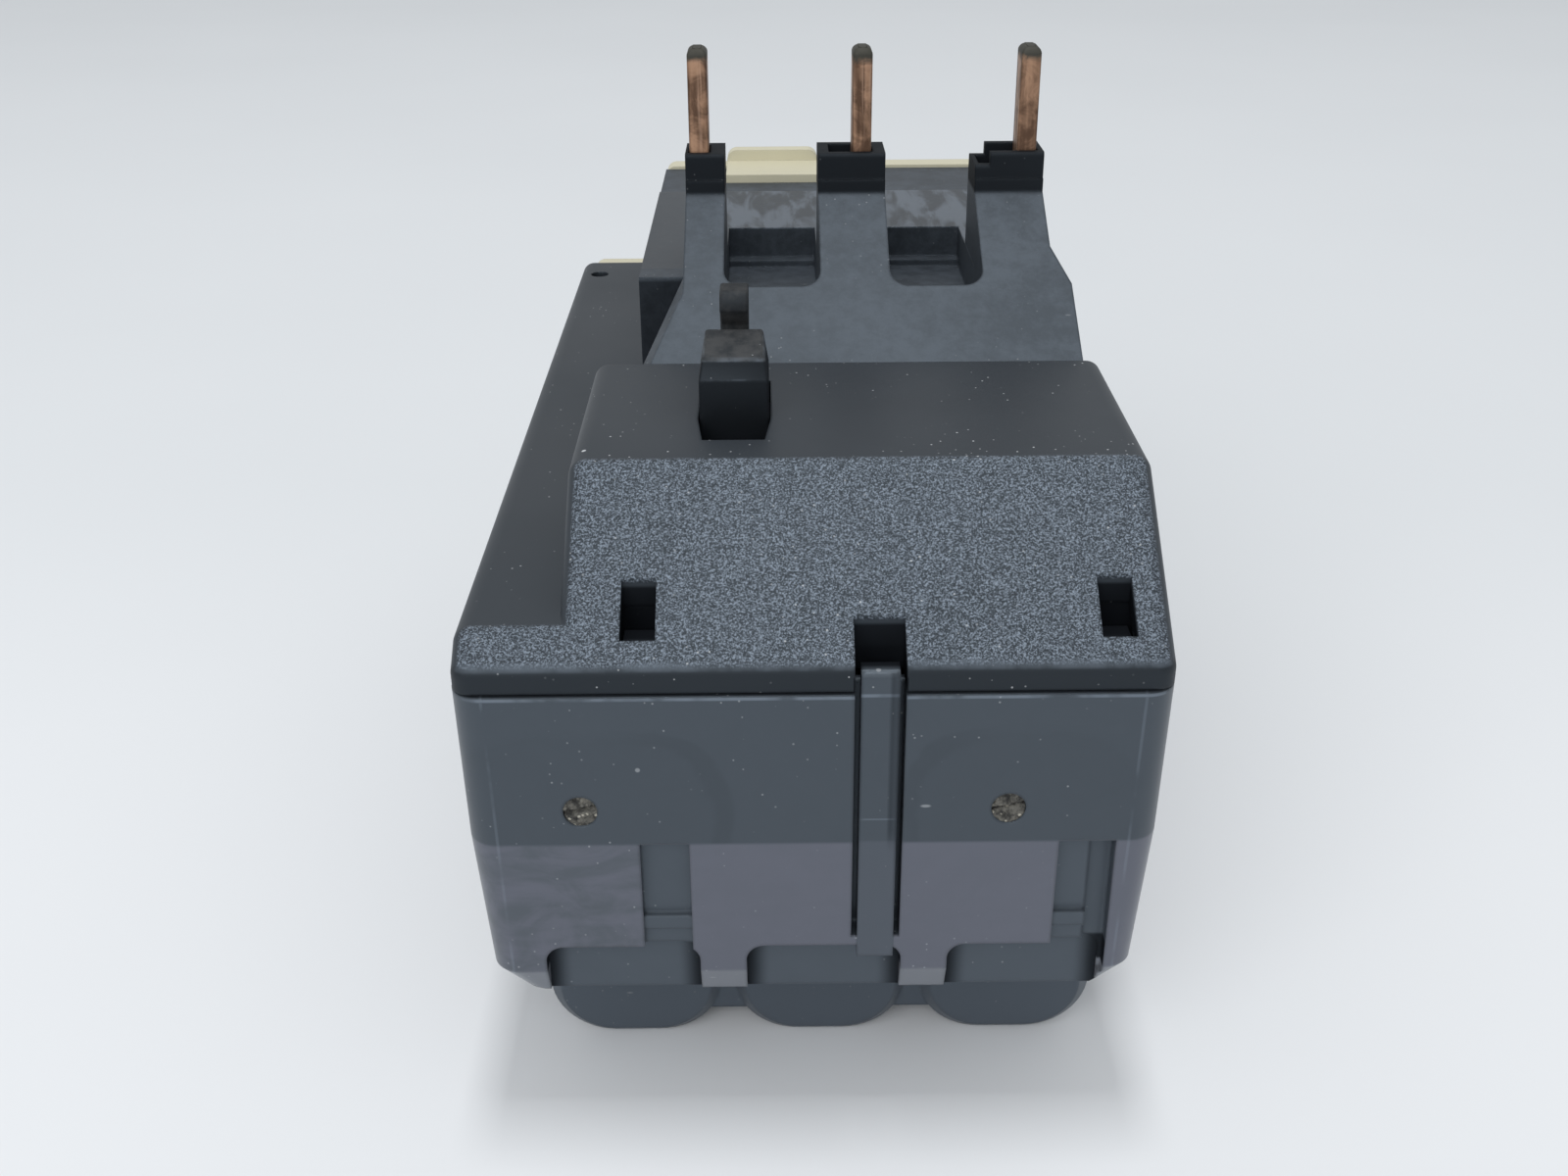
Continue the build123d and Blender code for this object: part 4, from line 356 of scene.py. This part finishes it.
def base_moulding():
    """Base housing: satin wall with dried wipe marks, panels below the kink painted paler as a painted floor
    reflection with wear patterns, painted highlights on the rim, crease and lip, painted shade at the pocket
    ends, beside the tongue and inside the seam, and rougher recesses.
    """
    f = Finish("base_moulding")
    x, y, z = f.axes()
    rear = y.step(41.0, 42.4)
    low = z.step(22.15, 21.85) * z.step(9.0, 9.3) * rear
    recessed = y.step(RECESS_Y + 0.03, RECESS_Y - 0.03) * z.step(11.3, 11.6)
    sunk = low * abs(x).step(20.0, 19.6) * recessed.either(y < POCKET_Y)
    under = z.step(9.4, 9.0)
    swirl = f.noise(210.0, 4.0, 0.6, warp=1.8)
    scratches = f.noise(900.0, 3.0, 0.6, f.stretched((0.25, 1.0, 1.0)), 0.4)
    fine = f.noise(4200.0, 2.0, 0.6)
    wobble = (f.noise(190.0, 3.0, 0.6) - 0.5) * 0.7
    rings, inside = 0.0, 0.0
    for middle_x, middle_z, half_width, half_height in WIPE_MARKS:
        spread = abs((x - middle_x) * (1 / half_width)).power(3)
        spread = spread + abs((z - middle_z) * (1 / half_height)).power(3)
        inner_side = ((x - middle_x) * ((-1 if middle_x > TONGUE_X else 1) / half_width)).step(0.1, 0.8)
        rings = (spread + wobble).near(1.0, 0.3) * (inner_side * 0.8 + 0.1) + rings
        inside = (spread + wobble).step(1.05, 0.8) + inside
    on_wall = rear * (1 - low) * (1 - under)
    wall = f.mix(swirl, black(0.036), black(0.044))
    wall = f.mix(rings * on_wall * 0.32, wall, black(0.014))
    wall = f.mix(inside * on_wall * 0.2, wall, black(0.026))
    left_panel = x.step(9.5, 11.0)
    worn = (swirl * 0.6 + scratches * 0.4).step(0.35, 0.65) * (left_panel * 0.75 + 0.15)
    # the panels below the kink are painted paler than the wall as a painted reflection of the floor; the worn
    # mask adds real wear patterns
    panel = f.mix(worn, (0.09, 0.091, 0.114, 1.0), (0.056, 0.062, 0.072, 1.0))
    # pocket ends: painted shade, mixed in by the dull factor below
    from_pole = abs((x - POLE_MIDDLE_X).wrap(POLE_PITCH / 2, -POLE_PITCH / 2))
    pocket = z.step(POCKET_TOP_Z + 0.1, POCKET_TOP_Z - 0.2)
    pocket_end_shade = from_pole.step(3.5, 5.1) * pocket * sunk
    recess = f.mix(swirl, black(0.044), black(0.056))
    tongue = abs(x - TONGUE_X).step(1.26, 1.22)
    panel = f.mix(tongue * 0.75, panel, black(0.048))
    colour = f.mix(low, wall, f.mix(sunk, panel, recess))
    # painted highlight: the bevelled bottom edge of the wall made paler, as a reflection of the floor
    rim_highlight = z.step(11.7, 11.3) * z.step(9.1, 9.3) * y.step(32.0, 36.0) * (1 - sunk)
    colour = f.mix(rim_highlight * 0.8, colour, (0.16, 0.17, 0.19, 1.0))
    # painted highlight: a pale broken line along the crease, which is also bumped
    crease = abs(abs(x) - (z - CREASE_LOW_Z) * CREASE_LEAN - CREASE_X).step(0.14, 0.04)
    crease = crease * y.step(43.6, 43.8) * f.noise(300.0, 3.0).step(0.35, 0.6)
    on_tongue = x.near(TONGUE_X, 1.6) * y.step(43.95, 44.05) * (y < 44.25) * rear
    tongue_line = z.near(TONGUE_LINE_Z, 0.08) * on_tongue
    # painted shade on the left side of the tongue, through the dull factor
    tongue_side_shade = x.step(-4.6, -4.9) * on_tongue * z.step(21.0, 23.0)
    # painted highlight: a pale broken line on the lip just under the seam
    lip_highlight = z.near(32.85, 0.16) * y.step(43.9, 44.1) * f.noise(500.0, 2.0).step(0.3, 0.6)
    colour = f.mix((crease * 0.14).either(tongue_line * 0.2).either(lip_highlight * 0.35), colour, black(0.3))
    # the backs of the lobes underneath are painted paler, so they read as soft shade under the body
    colour = f.mix(under * y.step(30.0, 34.0), colour, black(0.075))
    dust = dust_specks(f, 0.35)
    colour = f.mix(dust, colour, DUST)
    height = fine * (1 - low * 0.7) * 0.35 + worn * low * 0.5 + crease
    # inside the seam above the wall: painted shade, through the dull factor
    inner = z.step(33.0, 33.2) * y.step(43.7, 43.2)
    # dull factor: painted shade at the pocket ends, beside the tongue, on the lobes and inside the seam
    return f.finish({
        "Base Color": colour,
        "Roughness": 0.36 - low * 0.06 + sunk * 0.1 + (swirl - 0.5) * 0.1 + dust * 0.3,
        "IOR": 1.6, "Specular Tint": BLACK_SHEEN,
        "Normal": f.relief(height, 0.00003, 0.35, 0.4 * MM)},
        (pocket_end_shade * 0.85).either(tongue_side_shade * 0.45).either(under * 0.12).either(inner * 0.9))


def carrier_moulding():
    """Pin carrier: cloudy satin ramp, towers painted near-black and dulled as painted shade, streaks on the
    flat block behind them, and painted shade on the block's back face.
    """
    f = Finish("carrier_moulding")
    x, y, z = f.axes()
    # towers: painted near-black and dulled as painted shade
    shaded_tower = z.step(*TOWER_Z)
    cloudy = f.noise(700.0, 5.0, 0.75, warp=0.15)
    broad = f.noise(90.0, 2.0, 0.5)
    above, below = z.step(BLOCK_TOP_Z - 0.1, BLOCK_TOP_Z), 1 - z.step(BLOCK_TOP_Z + 0.1, BLOCK_TOP_Z + 0.2)
    top = above * below * (y < -2.0)
    streaks = f.noise(520.0, 3.0, 0.6, f.stretched((1.0, 0.2, 1.0)), 0.5).step(0.42, 0.6)
    fine = f.noise(3600.0, 2.0, 0.6)
    ramp = f.mix((cloudy * 0.7 + broad * 0.3).step(0.34, 0.66), black(0.028), black(0.062))
    colour = f.mix(shaded_tower, ramp, black(0.008))
    near_block = y.step(BLOCK_STREAK_Y - 0.3, BLOCK_STREAK_Y + 0.3) * x.step(9.8, 9.2)
    colour = f.mix(top * (1 - near_block * streaks) * 0.8, colour, black(0.024))
    colour = f.mix(top * near_block * streaks * 0.75, colour, black(0.13))
    dust = dust_specks(f, 0.3)
    colour = f.mix(dust, colour, DUST)
    # painted shade on the block's back face, through the dull factor
    block_back_shade = y.near(BLOCK_BACK_Y, 0.4) * x.step(9.0, 9.6) * z.step(46.5, 46.2)
    return f.finish({
        "Base Color": colour,
        "Roughness": 0.46 - top * 0.1 + cloudy * 0.12 + dust * 0.3,
        "IOR": 1.5, "Specular Tint": BLACK_SHEEN,
        "Normal": f.relief(fine * 0.4 + cloudy * 0.5, 0.00004, 0.4, 0.25 * MM)},
        (shaded_tower * 0.6).either(block_back_shade * 0.65))


def hook_moulding():
    """Contactor hook: near-black body dulled as painted shade, a scuffed cap, and painted highlights along
    the edges of the lip and cap.
    """
    f = Finish("hook_moulding")
    x, y, z = f.axes()
    cap = z.step(HOOK_LIP_Z[1] - 0.15, HOOK_LIP_Z[1] + 0.05)
    nose = z.step(*HOOK_NOSE_Z)
    scuff = f.noise(700.0, 4.0, 0.7)
    fine = f.noise(3600.0, 2.0, 0.6)
    worn = f.mix(scuff.step(0.35, 0.65), (0.02, 0.0205, 0.021, 1.0), (0.055, 0.054, 0.053, 1.0))
    colour = f.mix(cap, black(0.008), worn)
    # painted highlights: pale broken lines along the edges of the lip and cap
    edge = z.near(HOOK_LIP_Z[1], 0.15) * y.step(23.4, 23.7)
    edge = edge.either(z.near(HOOK_LIP_Z[0], 0.09) * y.step(24.3, 24.5))
    edge = edge.either(abs(x - HOOK_X).near(2.12, 0.16) * cap * (1 - nose))
    edge = edge * f.noise(900.0, 3.0).step(0.35, 0.6)
    colour = f.mix(edge * 0.3, colour, black(0.2))
    dust = f.specks(1800.0, 0.12, 0.25) * scuff.step(0.45, 0.6)
    colour = f.mix(dust * 0.6, colour, DUST)
    # dull factor: painted shade on the body below the cap; the nose and cap are dulled less
    return f.finish({
        "Base Color": colour,
        "Roughness": 0.34 + cap * 0.24 + scuff * 0.08,
        "IOR": 1.45, "Specular Tint": BLACK_SHEEN,
        "Normal": f.relief(fine * 0.4 + scuff * cap * 0.4, 0.00003, 0.4, 0.2 * MM)},
        ((1 - cap) * 0.5).either(nose * 0.35).either(cap * 0.22))


def tinted_plastic(name, colour, gloss=0.4, grime_and_shade=0.15):
    f = Finish(name)
    mottle = f.noise(140.0, 3.0, 0.6)
    fine = f.noise(3000.0, 2.0, 0.5)
    dirt_and_shade = f.noise(420.0, 4.0, 0.65).step(0.58, 0.78) * grime_and_shade
    lighter = tuple(min(c * 1.05, 1.0) for c in colour) + (1.0,)
    darker = tuple(c * 0.92 for c in colour) + (1.0,)
    grubby = tuple(c * 0.45 for c in colour) + (1.0,)
    return f.finish({
        "Base Color": f.mix(dirt_and_shade, f.mix(mottle, darker, lighter), grubby),
        "Roughness": mottle * 0.12 + dirt_and_shade * 0.3 + gloss,
        "Normal": f.relief(fine, 0.00002, 0.3, 0.15 * MM)})


def metal(name, bright, dull, gloss=0.3, stretch=(1.0, 1.0, 1.0), tarnish=0.4, screws=None):
    """Metal with drawn lines and tarnish; screws (a node and its count) get painted shade in their drive
    recesses.
    """
    f = Finish(name)
    lines = f.noise(1500.0, 3.0, 0.6, f.stretched(stretch))
    patches = f.noise(210.0, 4.0, 0.6).step(0.42, 0.7) * tarnish
    colour = f.mix(patches, bright + (1.0,), dull + (1.0,))
    if screws:
        x, y, z = f.axes()
        left, front, middle_z, radius, pitch = [value / MM for value in screw_row(*screws)]
        off_x = (x - left).wrap(pitch / 2, -pitch / 2)
        off_z = z - middle_z
        off_axis = (off_x * off_x + off_z * off_z).power(0.5)
        # painted shade in the screws' drive recesses
        dirt_and_shade = y.step(front + 0.12, front + 0.5) * off_axis.step(radius * 0.88, radius * 0.86)
        colour = f.mix(dirt_and_shade, colour, RECESS_SHADE)
    return f.finish({
        "Base Color": colour,
        "Metallic": 1.0 - patches * 0.35,
        "Roughness": lines * 0.18 + patches * 0.25 + gloss,
        "Normal": f.relief(lines, 0.00002, 0.4, 0.08 * MM)})


def worn_copper():
    """Copper pins: drawn lines up the length, brown patches and tips gone dark."""
    f = Finish("worn_copper")
    z = f.axes()[2]
    lines = f.noise(2600.0, 3.0, 0.6, f.stretched((1.0, 1.0, 0.04)))
    bands = f.noise(1400.0, 2.0, 0.5, f.stretched((1.0, 1.0, 0.08)))
    patches = f.noise(520.0, 4.0, 0.65, warp=0.8)
    tip = (z + patches * 1.4).step(PIN_TOP_Z - 0.7, PIN_TOP_Z + 0.1)
    browned = (patches * 0.5 + bands * 0.5).step(0.38, 0.62)
    copper = f.mix(browned, (0.42, 0.255, 0.165, 1.0), (0.115, 0.066, 0.043, 1.0))
    copper = f.mix(lines.step(0.55, 0.75) * 0.45, copper, (0.6, 0.4, 0.29, 1.0))
    colour = f.mix(tip, copper, (0.05, 0.049, 0.04, 1.0))
    return f.finish({
        "Base Color": colour,
        "Metallic": 0.9 - tip * 0.5,
        "Roughness": lines * 0.2 + patches * 0.2 + tip * 0.2 + 0.26,
        "Normal": f.relief(lines + patches * 0.6, 0.00003, 0.5)})


def clear_plastic(name):
    f = Finish(name)
    haze = f.noise(300.0, 3.0, 0.6)
    return f.finish({
        "Base Color": f.mix(haze, (0.86, 0.9, 0.9, 1.0), (0.95, 0.97, 0.97, 1.0)),
        "Roughness": haze * 0.1 + 0.05,
        "Alpha": haze * 0.08 + 0.26,
        "Normal": f.relief(haze, 0.00002, 0.2)})


def woven_sleeve(name):
    f = Finish(name)
    weave = f.add("ShaderNodeTexWave", {"bands_direction": "DIAGONAL"}, {
        "Vector": f.place, "Scale": 900.0, "Distortion": 2.0, "Detail": 1.0}).out(1)
    return f.finish({
        "Base Color": f.mix(weave, (0.72, 0.68, 0.58, 1.0), (0.9, 0.88, 0.8, 1.0)),
        "Roughness": weave * 0.1 + 0.75,
        "Normal": f.relief(weave, 0.00008, 0.6)})


def crumbly_sealant(name):
    """Dried sealing compound: grey crumbs, cream grains mostly low down, and dark pits."""
    f = Finish(name)
    z = f.axes()[2]
    crumbs, pick = f.cells(3600.0)
    patches = f.noise(1700.0, 4.0, 0.7)
    low = z.step(25.0, 24.2)
    grey = f.mix(patches.step(0.35, 0.65), (0.016, 0.016, 0.015, 1.0), (0.13, 0.125, 0.11, 1.0))
    cream = (pick > 0.75) * crumbs.step(0.5, 0.3) * (low * 0.8 + 0.15)
    colour = f.mix(cream, grey, (0.42, 0.4, 0.34, 1.0))
    return f.finish({
        "Base Color": colour,
        "Roughness": crumbs * 0.2 + 0.75,
        "Normal": f.relief(crumbs + patches, 0.00015, 0.9)})


FINISHES = {
    "housing_black": base_moulding(),
    "plate_cream": tinted_plastic("plate_cream", (0.6, 0.57, 0.425)),
    "clear_plastic": clear_plastic("clear_plastic"),
    "steel": metal("zinc_plated_steel", (0.5, 0.5, 0.48), DULL_ZINC, 0.34),
    "dial_white": tinted_plastic("dial_white", (0.86, 0.85, 0.8)),
    "inner_plastic": tinted_plastic("natural_plastic", (0.72, 0.7, 0.62)),
    "button_red": tinted_plastic("button_red", (0.6, 0.03, 0.025), 0.3, 0.1),
    "button_blue": tinted_plastic("button_blue", (0.03, 0.09, 0.38), 0.3, 0.1),
    "flag_orange": tinted_plastic("flag_orange", (0.85, 0.25, 0.03)),
    "copper": worn_copper(),
    "bimetal": metal("rolled_strip", (0.66, 0.63, 0.57), (0.4, 0.36, 0.31), 0.35, (1.0, 1.0, 0.1)),
    "heater": metal("resistance_wire", (0.5, 0.45, 0.4), (0.3, 0.24, 0.2), 0.42),
    "glass_sleeve": woven_sleeve("woven_glass"),
    "contact_brass": metal("stamped_brass", (0.82, 0.66, 0.36), (0.45, 0.32, 0.16)),
    "sealant": crumbly_sealant("crumbly_sealant"),
}
PRINT = tinted_plastic("printed_black", (0.03, 0.03, 0.03), 0.5, 0.1)
OWN_FINISHES = {
    "rear_cover": cover_moulding(),
    "pin_carrier": carrier_moulding(),
    "contactor_hook": hook_moulding(),
    "control_terminal_screws": metal("control_screw_zinc", ZINC, DULL_ZINC, 0.34,
                                     screws=("control_terminal_screws", len(CONTROL_TURNS))),
    "power_terminal_screws": metal("power_screw_zinc", ZINC, DULL_ZINC, 0.34,
                                   screws=("power_terminal_screws", len(POWER_TURNS))),
}


def finish_of(node_name):
    return OWN_FINISHES.get(node_name) or FINISHES[SLOT_OF[node_name]]


# Pieces
def give(piece, finish):
    piece.data.materials.clear()
    piece.data.materials.append(finish)


def piece_from(mesh, name, node_name, smooth_deg=30.0):
    """Makes a bmesh into an object that rides where the named CAD node does."""
    data = bpy.data.meshes.new(name)
    mesh.to_mesh(data)
    mesh.free()
    data.shade_smooth()
    data.set_sharp_from_angle(angle=radians(smooth_deg))
    made = bpy.data.objects.new(name, data)
    bpy.context.scene.collection.objects.link(made)
    give(made, finish_of(node_name))
    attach(made, BODY_OF[node_name])
    return made


def softened(node_name, name, radius, segments=3, from_deg=25.0):
    """A copy of a CAD node with its loose triangles joined and its edges rounded."""
    mesh = bmesh.new()
    mesh.from_mesh(NODES[node_name].data)
    bmesh.ops.remove_doubles(mesh, verts=mesh.verts[:], dist=0.002 * MM)
    bmesh.ops.dissolve_limit(mesh, angle_limit=radians(1.0), verts=mesh.verts[:], edges=mesh.edges[:])
    corners = [edge for edge in mesh.edges if len(edge.link_faces) == 2
               and edge.calc_face_angle(0.0) > radians(from_deg)]
    bmesh.ops.bevel(mesh, geom=corners, offset=radius, offset_type="OFFSET", segments=segments,
                    profile=0.5, affect="EDGES", clamp_overlap=True, material=-1)
    made = piece_from(mesh, name, node_name, 60.0)
    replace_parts(made, node_name)
    return made


def crumbly_plugs():
    """Two lumps of dried compound that fill and slightly overflow the calibration holes of the rear wall."""
    low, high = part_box("sealing_plugs")
    radius = (high[2] - low[2]) / 2
    middle_z = (high[2] + low[2]) / 2
    mesh = bmesh.new()
    for x in (low[0] + radius, high[0] - radius):
        made = bmesh.ops.create_icosphere(mesh, subdivisions=6, radius=radius)["verts"]
        for vert in made:
            lump = noise.fractal(vert.co * 2600.0 + Vector((x * 9000.0, 0, 0)), 0.8, 2.0, 4)
            wide = (vert.co.x ** 2 + vert.co.z ** 2) ** 0.5
            spread = min(1.35, radius / max(wide, 1e-9))
            vert.co.x *= spread * (0.97 + 0.04 * lump)
            vert.co.z *= spread * (1.1 + 0.05 * lump)
            crack = max(0.0, 1 - abs(vert.co.z + 0.25 * vert.co.x - 0.15 * MM) / (0.16 * MM))
            vert.co.y *= 0.3 + 0.1 * lump
            if vert.co.y > 0:
                vert.co.y -= 0.25 * MM * crack
        bmesh.ops.translate(mesh, verts=made, vec=(x, PLUG_Y * MM, middle_z))
    made = piece_from(mesh, "dried_sealing_compound", "sealing_plugs", 80.0)
    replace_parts(made, "sealing_plugs")


def turned(outline, steps=48):
    """A closed turned shape along Y from (radius, y) points that start and end on the axis."""
    mesh = bmesh.new()
    verts = [mesh.verts.new((radius, along, 0.0)) for radius, along in outline]
    edges = [mesh.edges.new(pair) for pair in zip(verts, verts[1:])]
    bmesh.ops.spin(mesh, geom=verts + edges, cent=(0, 0, 0), axis=(0, 1, 0), dvec=(0, 0, 0),
                   angle=2 * pi, steps=steps, use_merge=True, use_duplicate=False)
    bmesh.ops.remove_doubles(mesh, verts=mesh.verts[:], dist=0.0002 * MM)
    bmesh.ops.recalc_face_normals(mesh, faces=mesh.faces[:])
    return mesh


def drive_recess(mesh, half_width, slot_reach, cross_reach, depth):
    """Presses a slot crossed by a shorter slot into the flat end at y = 0, which opens there."""
    for axis, reach in ((0, slot_reach), (2, cross_reach)):
        for distance in (-reach, -half_width, half_width, reach):
            normal = Vector((axis == 0, 0, axis == 2))
            flat = [face for face in mesh.faces if abs(face.calc_center_median().y) < 0.001 * MM]
            edges = dict.fromkeys(edge for face in flat for edge in face.edges)
            verts = dict.fromkeys(vert for face in flat for vert in face.verts)
            bmesh.ops.bisect_plane(mesh, geom=[*flat, *edges, *verts], plane_co=normal * distance,
                                   plane_no=normal, dist=0.0001 * MM)
    pressed = []
    for face in mesh.faces:
        x, y, z = face.calc_center_median()
        in_slot = abs(x) < slot_reach and abs(z) < half_width
        in_cross = abs(z) < cross_reach and abs(x) < half_width
        if abs(y) < 0.001 * MM and (in_slot or in_cross):
            pressed.append(face)
    moved = bmesh.ops.extrude_face_region(mesh, geom=pressed)["geom"]
    verts = [item for item in moved if isinstance(item, bmesh.types.BMVert)]
    bmesh.ops.translate(mesh, verts=verts, vec=(0, depth, 0))
    bmesh.ops.delete(mesh, geom=[face for face in pressed if face.is_valid], context="FACES_ONLY")


def terminal_screws(node_name, name, turns, head_length, shank_radius, pitch):
    """The screws of one row, with domed heads, a combined slot and cross, and threaded shanks."""
    first_x, front, middle_z, radius, step = screw_row(node_name, len(turns))
    low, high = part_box(node_name)
    length = high[1] - low[1]
    outline = [(0.0, 0.0), (radius * 0.8, 0.0), (radius * 0.93, 0.1 * MM), (radius, 0.4 * MM),
               (radius, head_length - 0.3 * MM), (radius - 0.25 * MM, head_length),
               (shank_radius, head_length)]
    along = head_length + pitch
    while along < length - 1.5 * pitch:
        outline += [(shank_radius, along), (shank_radius * 0.86, along + pitch / 2)]
        along += pitch
    outline += [(shank_radius * 0.86, along), (shank_radius * 0.7, length), (0.0, length)]
    together = bmesh.new()
    for number, turn in enumerate(turns):
        screw = turned(outline)
        drive_recess(screw, 0.4 * MM, radius * 0.86, radius * 0.48, 0.9 * MM)
        set_turn = Matrix.Rotation(radians(turn), 3, "Y")
        bmesh.ops.rotate(screw, verts=screw.verts[:], cent=(0, 0, 0), matrix=set_turn)
        bmesh.ops.translate(screw, verts=screw.verts[:], vec=(first_x + step * number, front, middle_z))
        data = bpy.data.meshes.new(name + "_part")
        screw.to_mesh(data)
        screw.free()
        together.from_mesh(data)
        bpy.data.meshes.remove(data)
    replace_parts(piece_from(together, name, node_name), node_name)


def bar(mesh, corners, front_y, back_y):
    """A flat bar between two depths from (x, z) corners."""
    face = mesh.faces.new([mesh.verts.new((x, back_y, z)) for x, z in corners])
    moved = bmesh.ops.extrude_face_region(mesh, geom=[face], use_keep_orig=True)["geom"]
    verts = [item for item in moved if isinstance(item, bmesh.types.BMVert)]
    bmesh.ops.translate(mesh, verts=verts, vec=(0, front_y - back_y, 0))


def printed(mesh, name, node_name):
    """Dark print that rides on the same body as a node."""
    bmesh.ops.recalc_face_normals(mesh, faces=mesh.faces[:])
    made = piece_from(mesh, name, node_name)
    give(made, PRINT)


def tick_turn(number):
    return radians(-DIAL_SWEEP / 2 + DIAL_SWEEP * number / (DIAL_TICKS - 1))


def dial_scale():
    """Ticks and plain numbers round the face of the setting dial, and the pointer mark beside it."""
    low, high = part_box("setting_dial")
    middle_x, middle_z = (low[0] + high[0]) / 2, (low[2] + high[2]) / 2
    radius = (high[0] - low[0]) / 2
    face_y = low[1]
    ticks = bmesh.new()
    for number in range(DIAL_TICKS):
        turn = tick_turn(number)
        out = Vector((sin(turn), cos(turn)))
        side = Vector((out.y, -out.x)) * 0.07 * MM
        long_tick = number % TICKS_PER_NUMBER == 0
        inner = out * (radius * (0.82 if long_tick else 0.87))
        outer = out * (radius * 0.935)
        points = (inner - side, inner + side, outer + side, outer - side)
        corners = [(middle_x + point.x, middle_z + point.y) for point in points]
        bar(ticks, corners, face_y - 0.03 * MM, face_y + 0.02 * MM)
    printed(ticks, "dial_ticks", "setting_dial")
    numbers = bmesh.new()
    for number in range(0, DIAL_TICKS, TICKS_PER_NUMBER):
        turn = tick_turn(number)
        curve = bpy.data.curves.new("scale_number", "FONT")
        curve.body = str(FIRST_NUMBER + number // TICKS_PER_NUMBER)
        curve.size = 1.5 * MM
        curve.align_x, curve.align_y = "CENTER", "CENTER"
        curve.extrude = 0.02 * MM
        shown = bpy.data.objects.new("scale_number", curve)
        flat = bpy.data.meshes.new_from_object(shown)
        place = Vector((middle_x + sin(turn) * radius * 0.66, face_y - 0.01 * MM,
                        middle_z + cos(turn) * radius * 0.66))
        upright = Matrix.Rotation(turn, 4, "Y") @ Matrix.Rotation(pi / 2, 4, "X")
        flat.transform(Matrix.Translation(place) @ upright)
        numbers.from_mesh(flat)
        bpy.data.objects.remove(shown)
        bpy.data.curves.remove(curve)
        bpy.data.meshes.remove(flat)
    printed(numbers, "dial_numbers", "setting_dial")
    plate_y = face_y + 0.3 * MM
    pointer = bmesh.new()
    tip_z = middle_z + radius + 0.45 * MM
    bar(pointer, [(middle_x - 0.5 * MM, tip_z + 0.75 * MM), (middle_x + 0.5 * MM, tip_z + 0.75 * MM),
                  (middle_x, tip_z)], plate_y - 0.04 * MM, plate_y + 0.02 * MM)
    printed(pointer, "dial_pointer", "front_plate")


def slot_shade_sheets():
    """Thin dark sheets behind the cover's two snap slots, put there as painted shade that closes the view
    through them. Thin baffles, not seen in the photo, that close the view through the cover's two snap
    slots.
    """
    mesh = bmesh.new()
    for middle in SLOT_XS:
        left, right = middle - SHADE_SHEET_HALF_WIDTH, middle + SHADE_SHEET_HALF_WIDTH
        corners = [(left, 33.4), (right, 33.4), (right, 36.1), (right - 0.5, 36.6),
                   (left + 0.5, 36.6), (left, 36.1)]
        bar(mesh, [(x * MM, z * MM) for x, z in corners], SHADE_SHEET_Y[0] * MM, SHADE_SHEET_Y[1] * MM)
    bmesh.ops.recalc_face_normals(mesh, faces=mesh.faces[:])
    bmesh.ops.bevel(mesh, geom=mesh.edges[:], offset=0.08 * MM, offset_type="OFFSET", segments=1,
                    profile=0.5, affect="EDGES", material=-1)
    piece_from(mesh, "slot_shade_sheets", "base_housing")


# Floor
def floor():
    mesh = bmesh.new()
    bmesh.ops.create_grid(mesh, x_segments=1, y_segments=1, size=2.0)
    data = bpy.data.meshes.new("pale_floor")
    mesh.to_mesh(data)
    mesh.free()
    made = bpy.data.objects.new("pale_floor", data)
    bpy.context.scene.collection.objects.link(made)
    f = Finish("pale_paper")
    y = f.axes()[1]
    mottle = f.noise(12.0, 3.0, 0.5)
    # painted shade: the floor is made darker with distance from the camera
    far_shade = y.step(FLOOR_NEAR_Y, FLOOR_FAR_Y)
    near = f.mix(mottle, (0.77, 0.79, 0.815, 1.0), (0.8, 0.82, 0.845, 1.0))
    colour = f.mix(far_shade, near, f.mix(mottle, (0.7, 0.725, 0.75, 1.0), (0.73, 0.755, 0.78, 1.0)))
    # painted shade: the floor far behind the camera is darkened where the window light pools
    colour = f.mix(y.step(180.0, 520.0) * 0.45, colour, (0.45, 0.46, 0.47, 1.0))
    give(made, f.finish({"Base Color": colour, "Roughness": mottle * 0.1 + 0.85, "Specular IOR Level": 0.1}))


place_camera()
light_scene()
floor()
for node_name, node in NODES.items():
    give(node, finish_of(node_name))
terminal_screws("control_terminal_screws", "control_screws_turned", CONTROL_TURNS,
                2.0 * MM, 1.5 * MM, 0.6 * MM)
terminal_screws("power_terminal_screws", "power_screws_turned", POWER_TURNS,
                2.6 * MM, 2.0 * MM, 0.8 * MM)
dial_scale()
slot_shade_sheets()
softened("contactor_hook", "rounded_hook", 0.18 * MM)
for side in ("left", "middle", "right"):
    softened("plug_pin_" + side, "rounded_pin_" + side, 0.3 * MM)
crumbly_plugs()
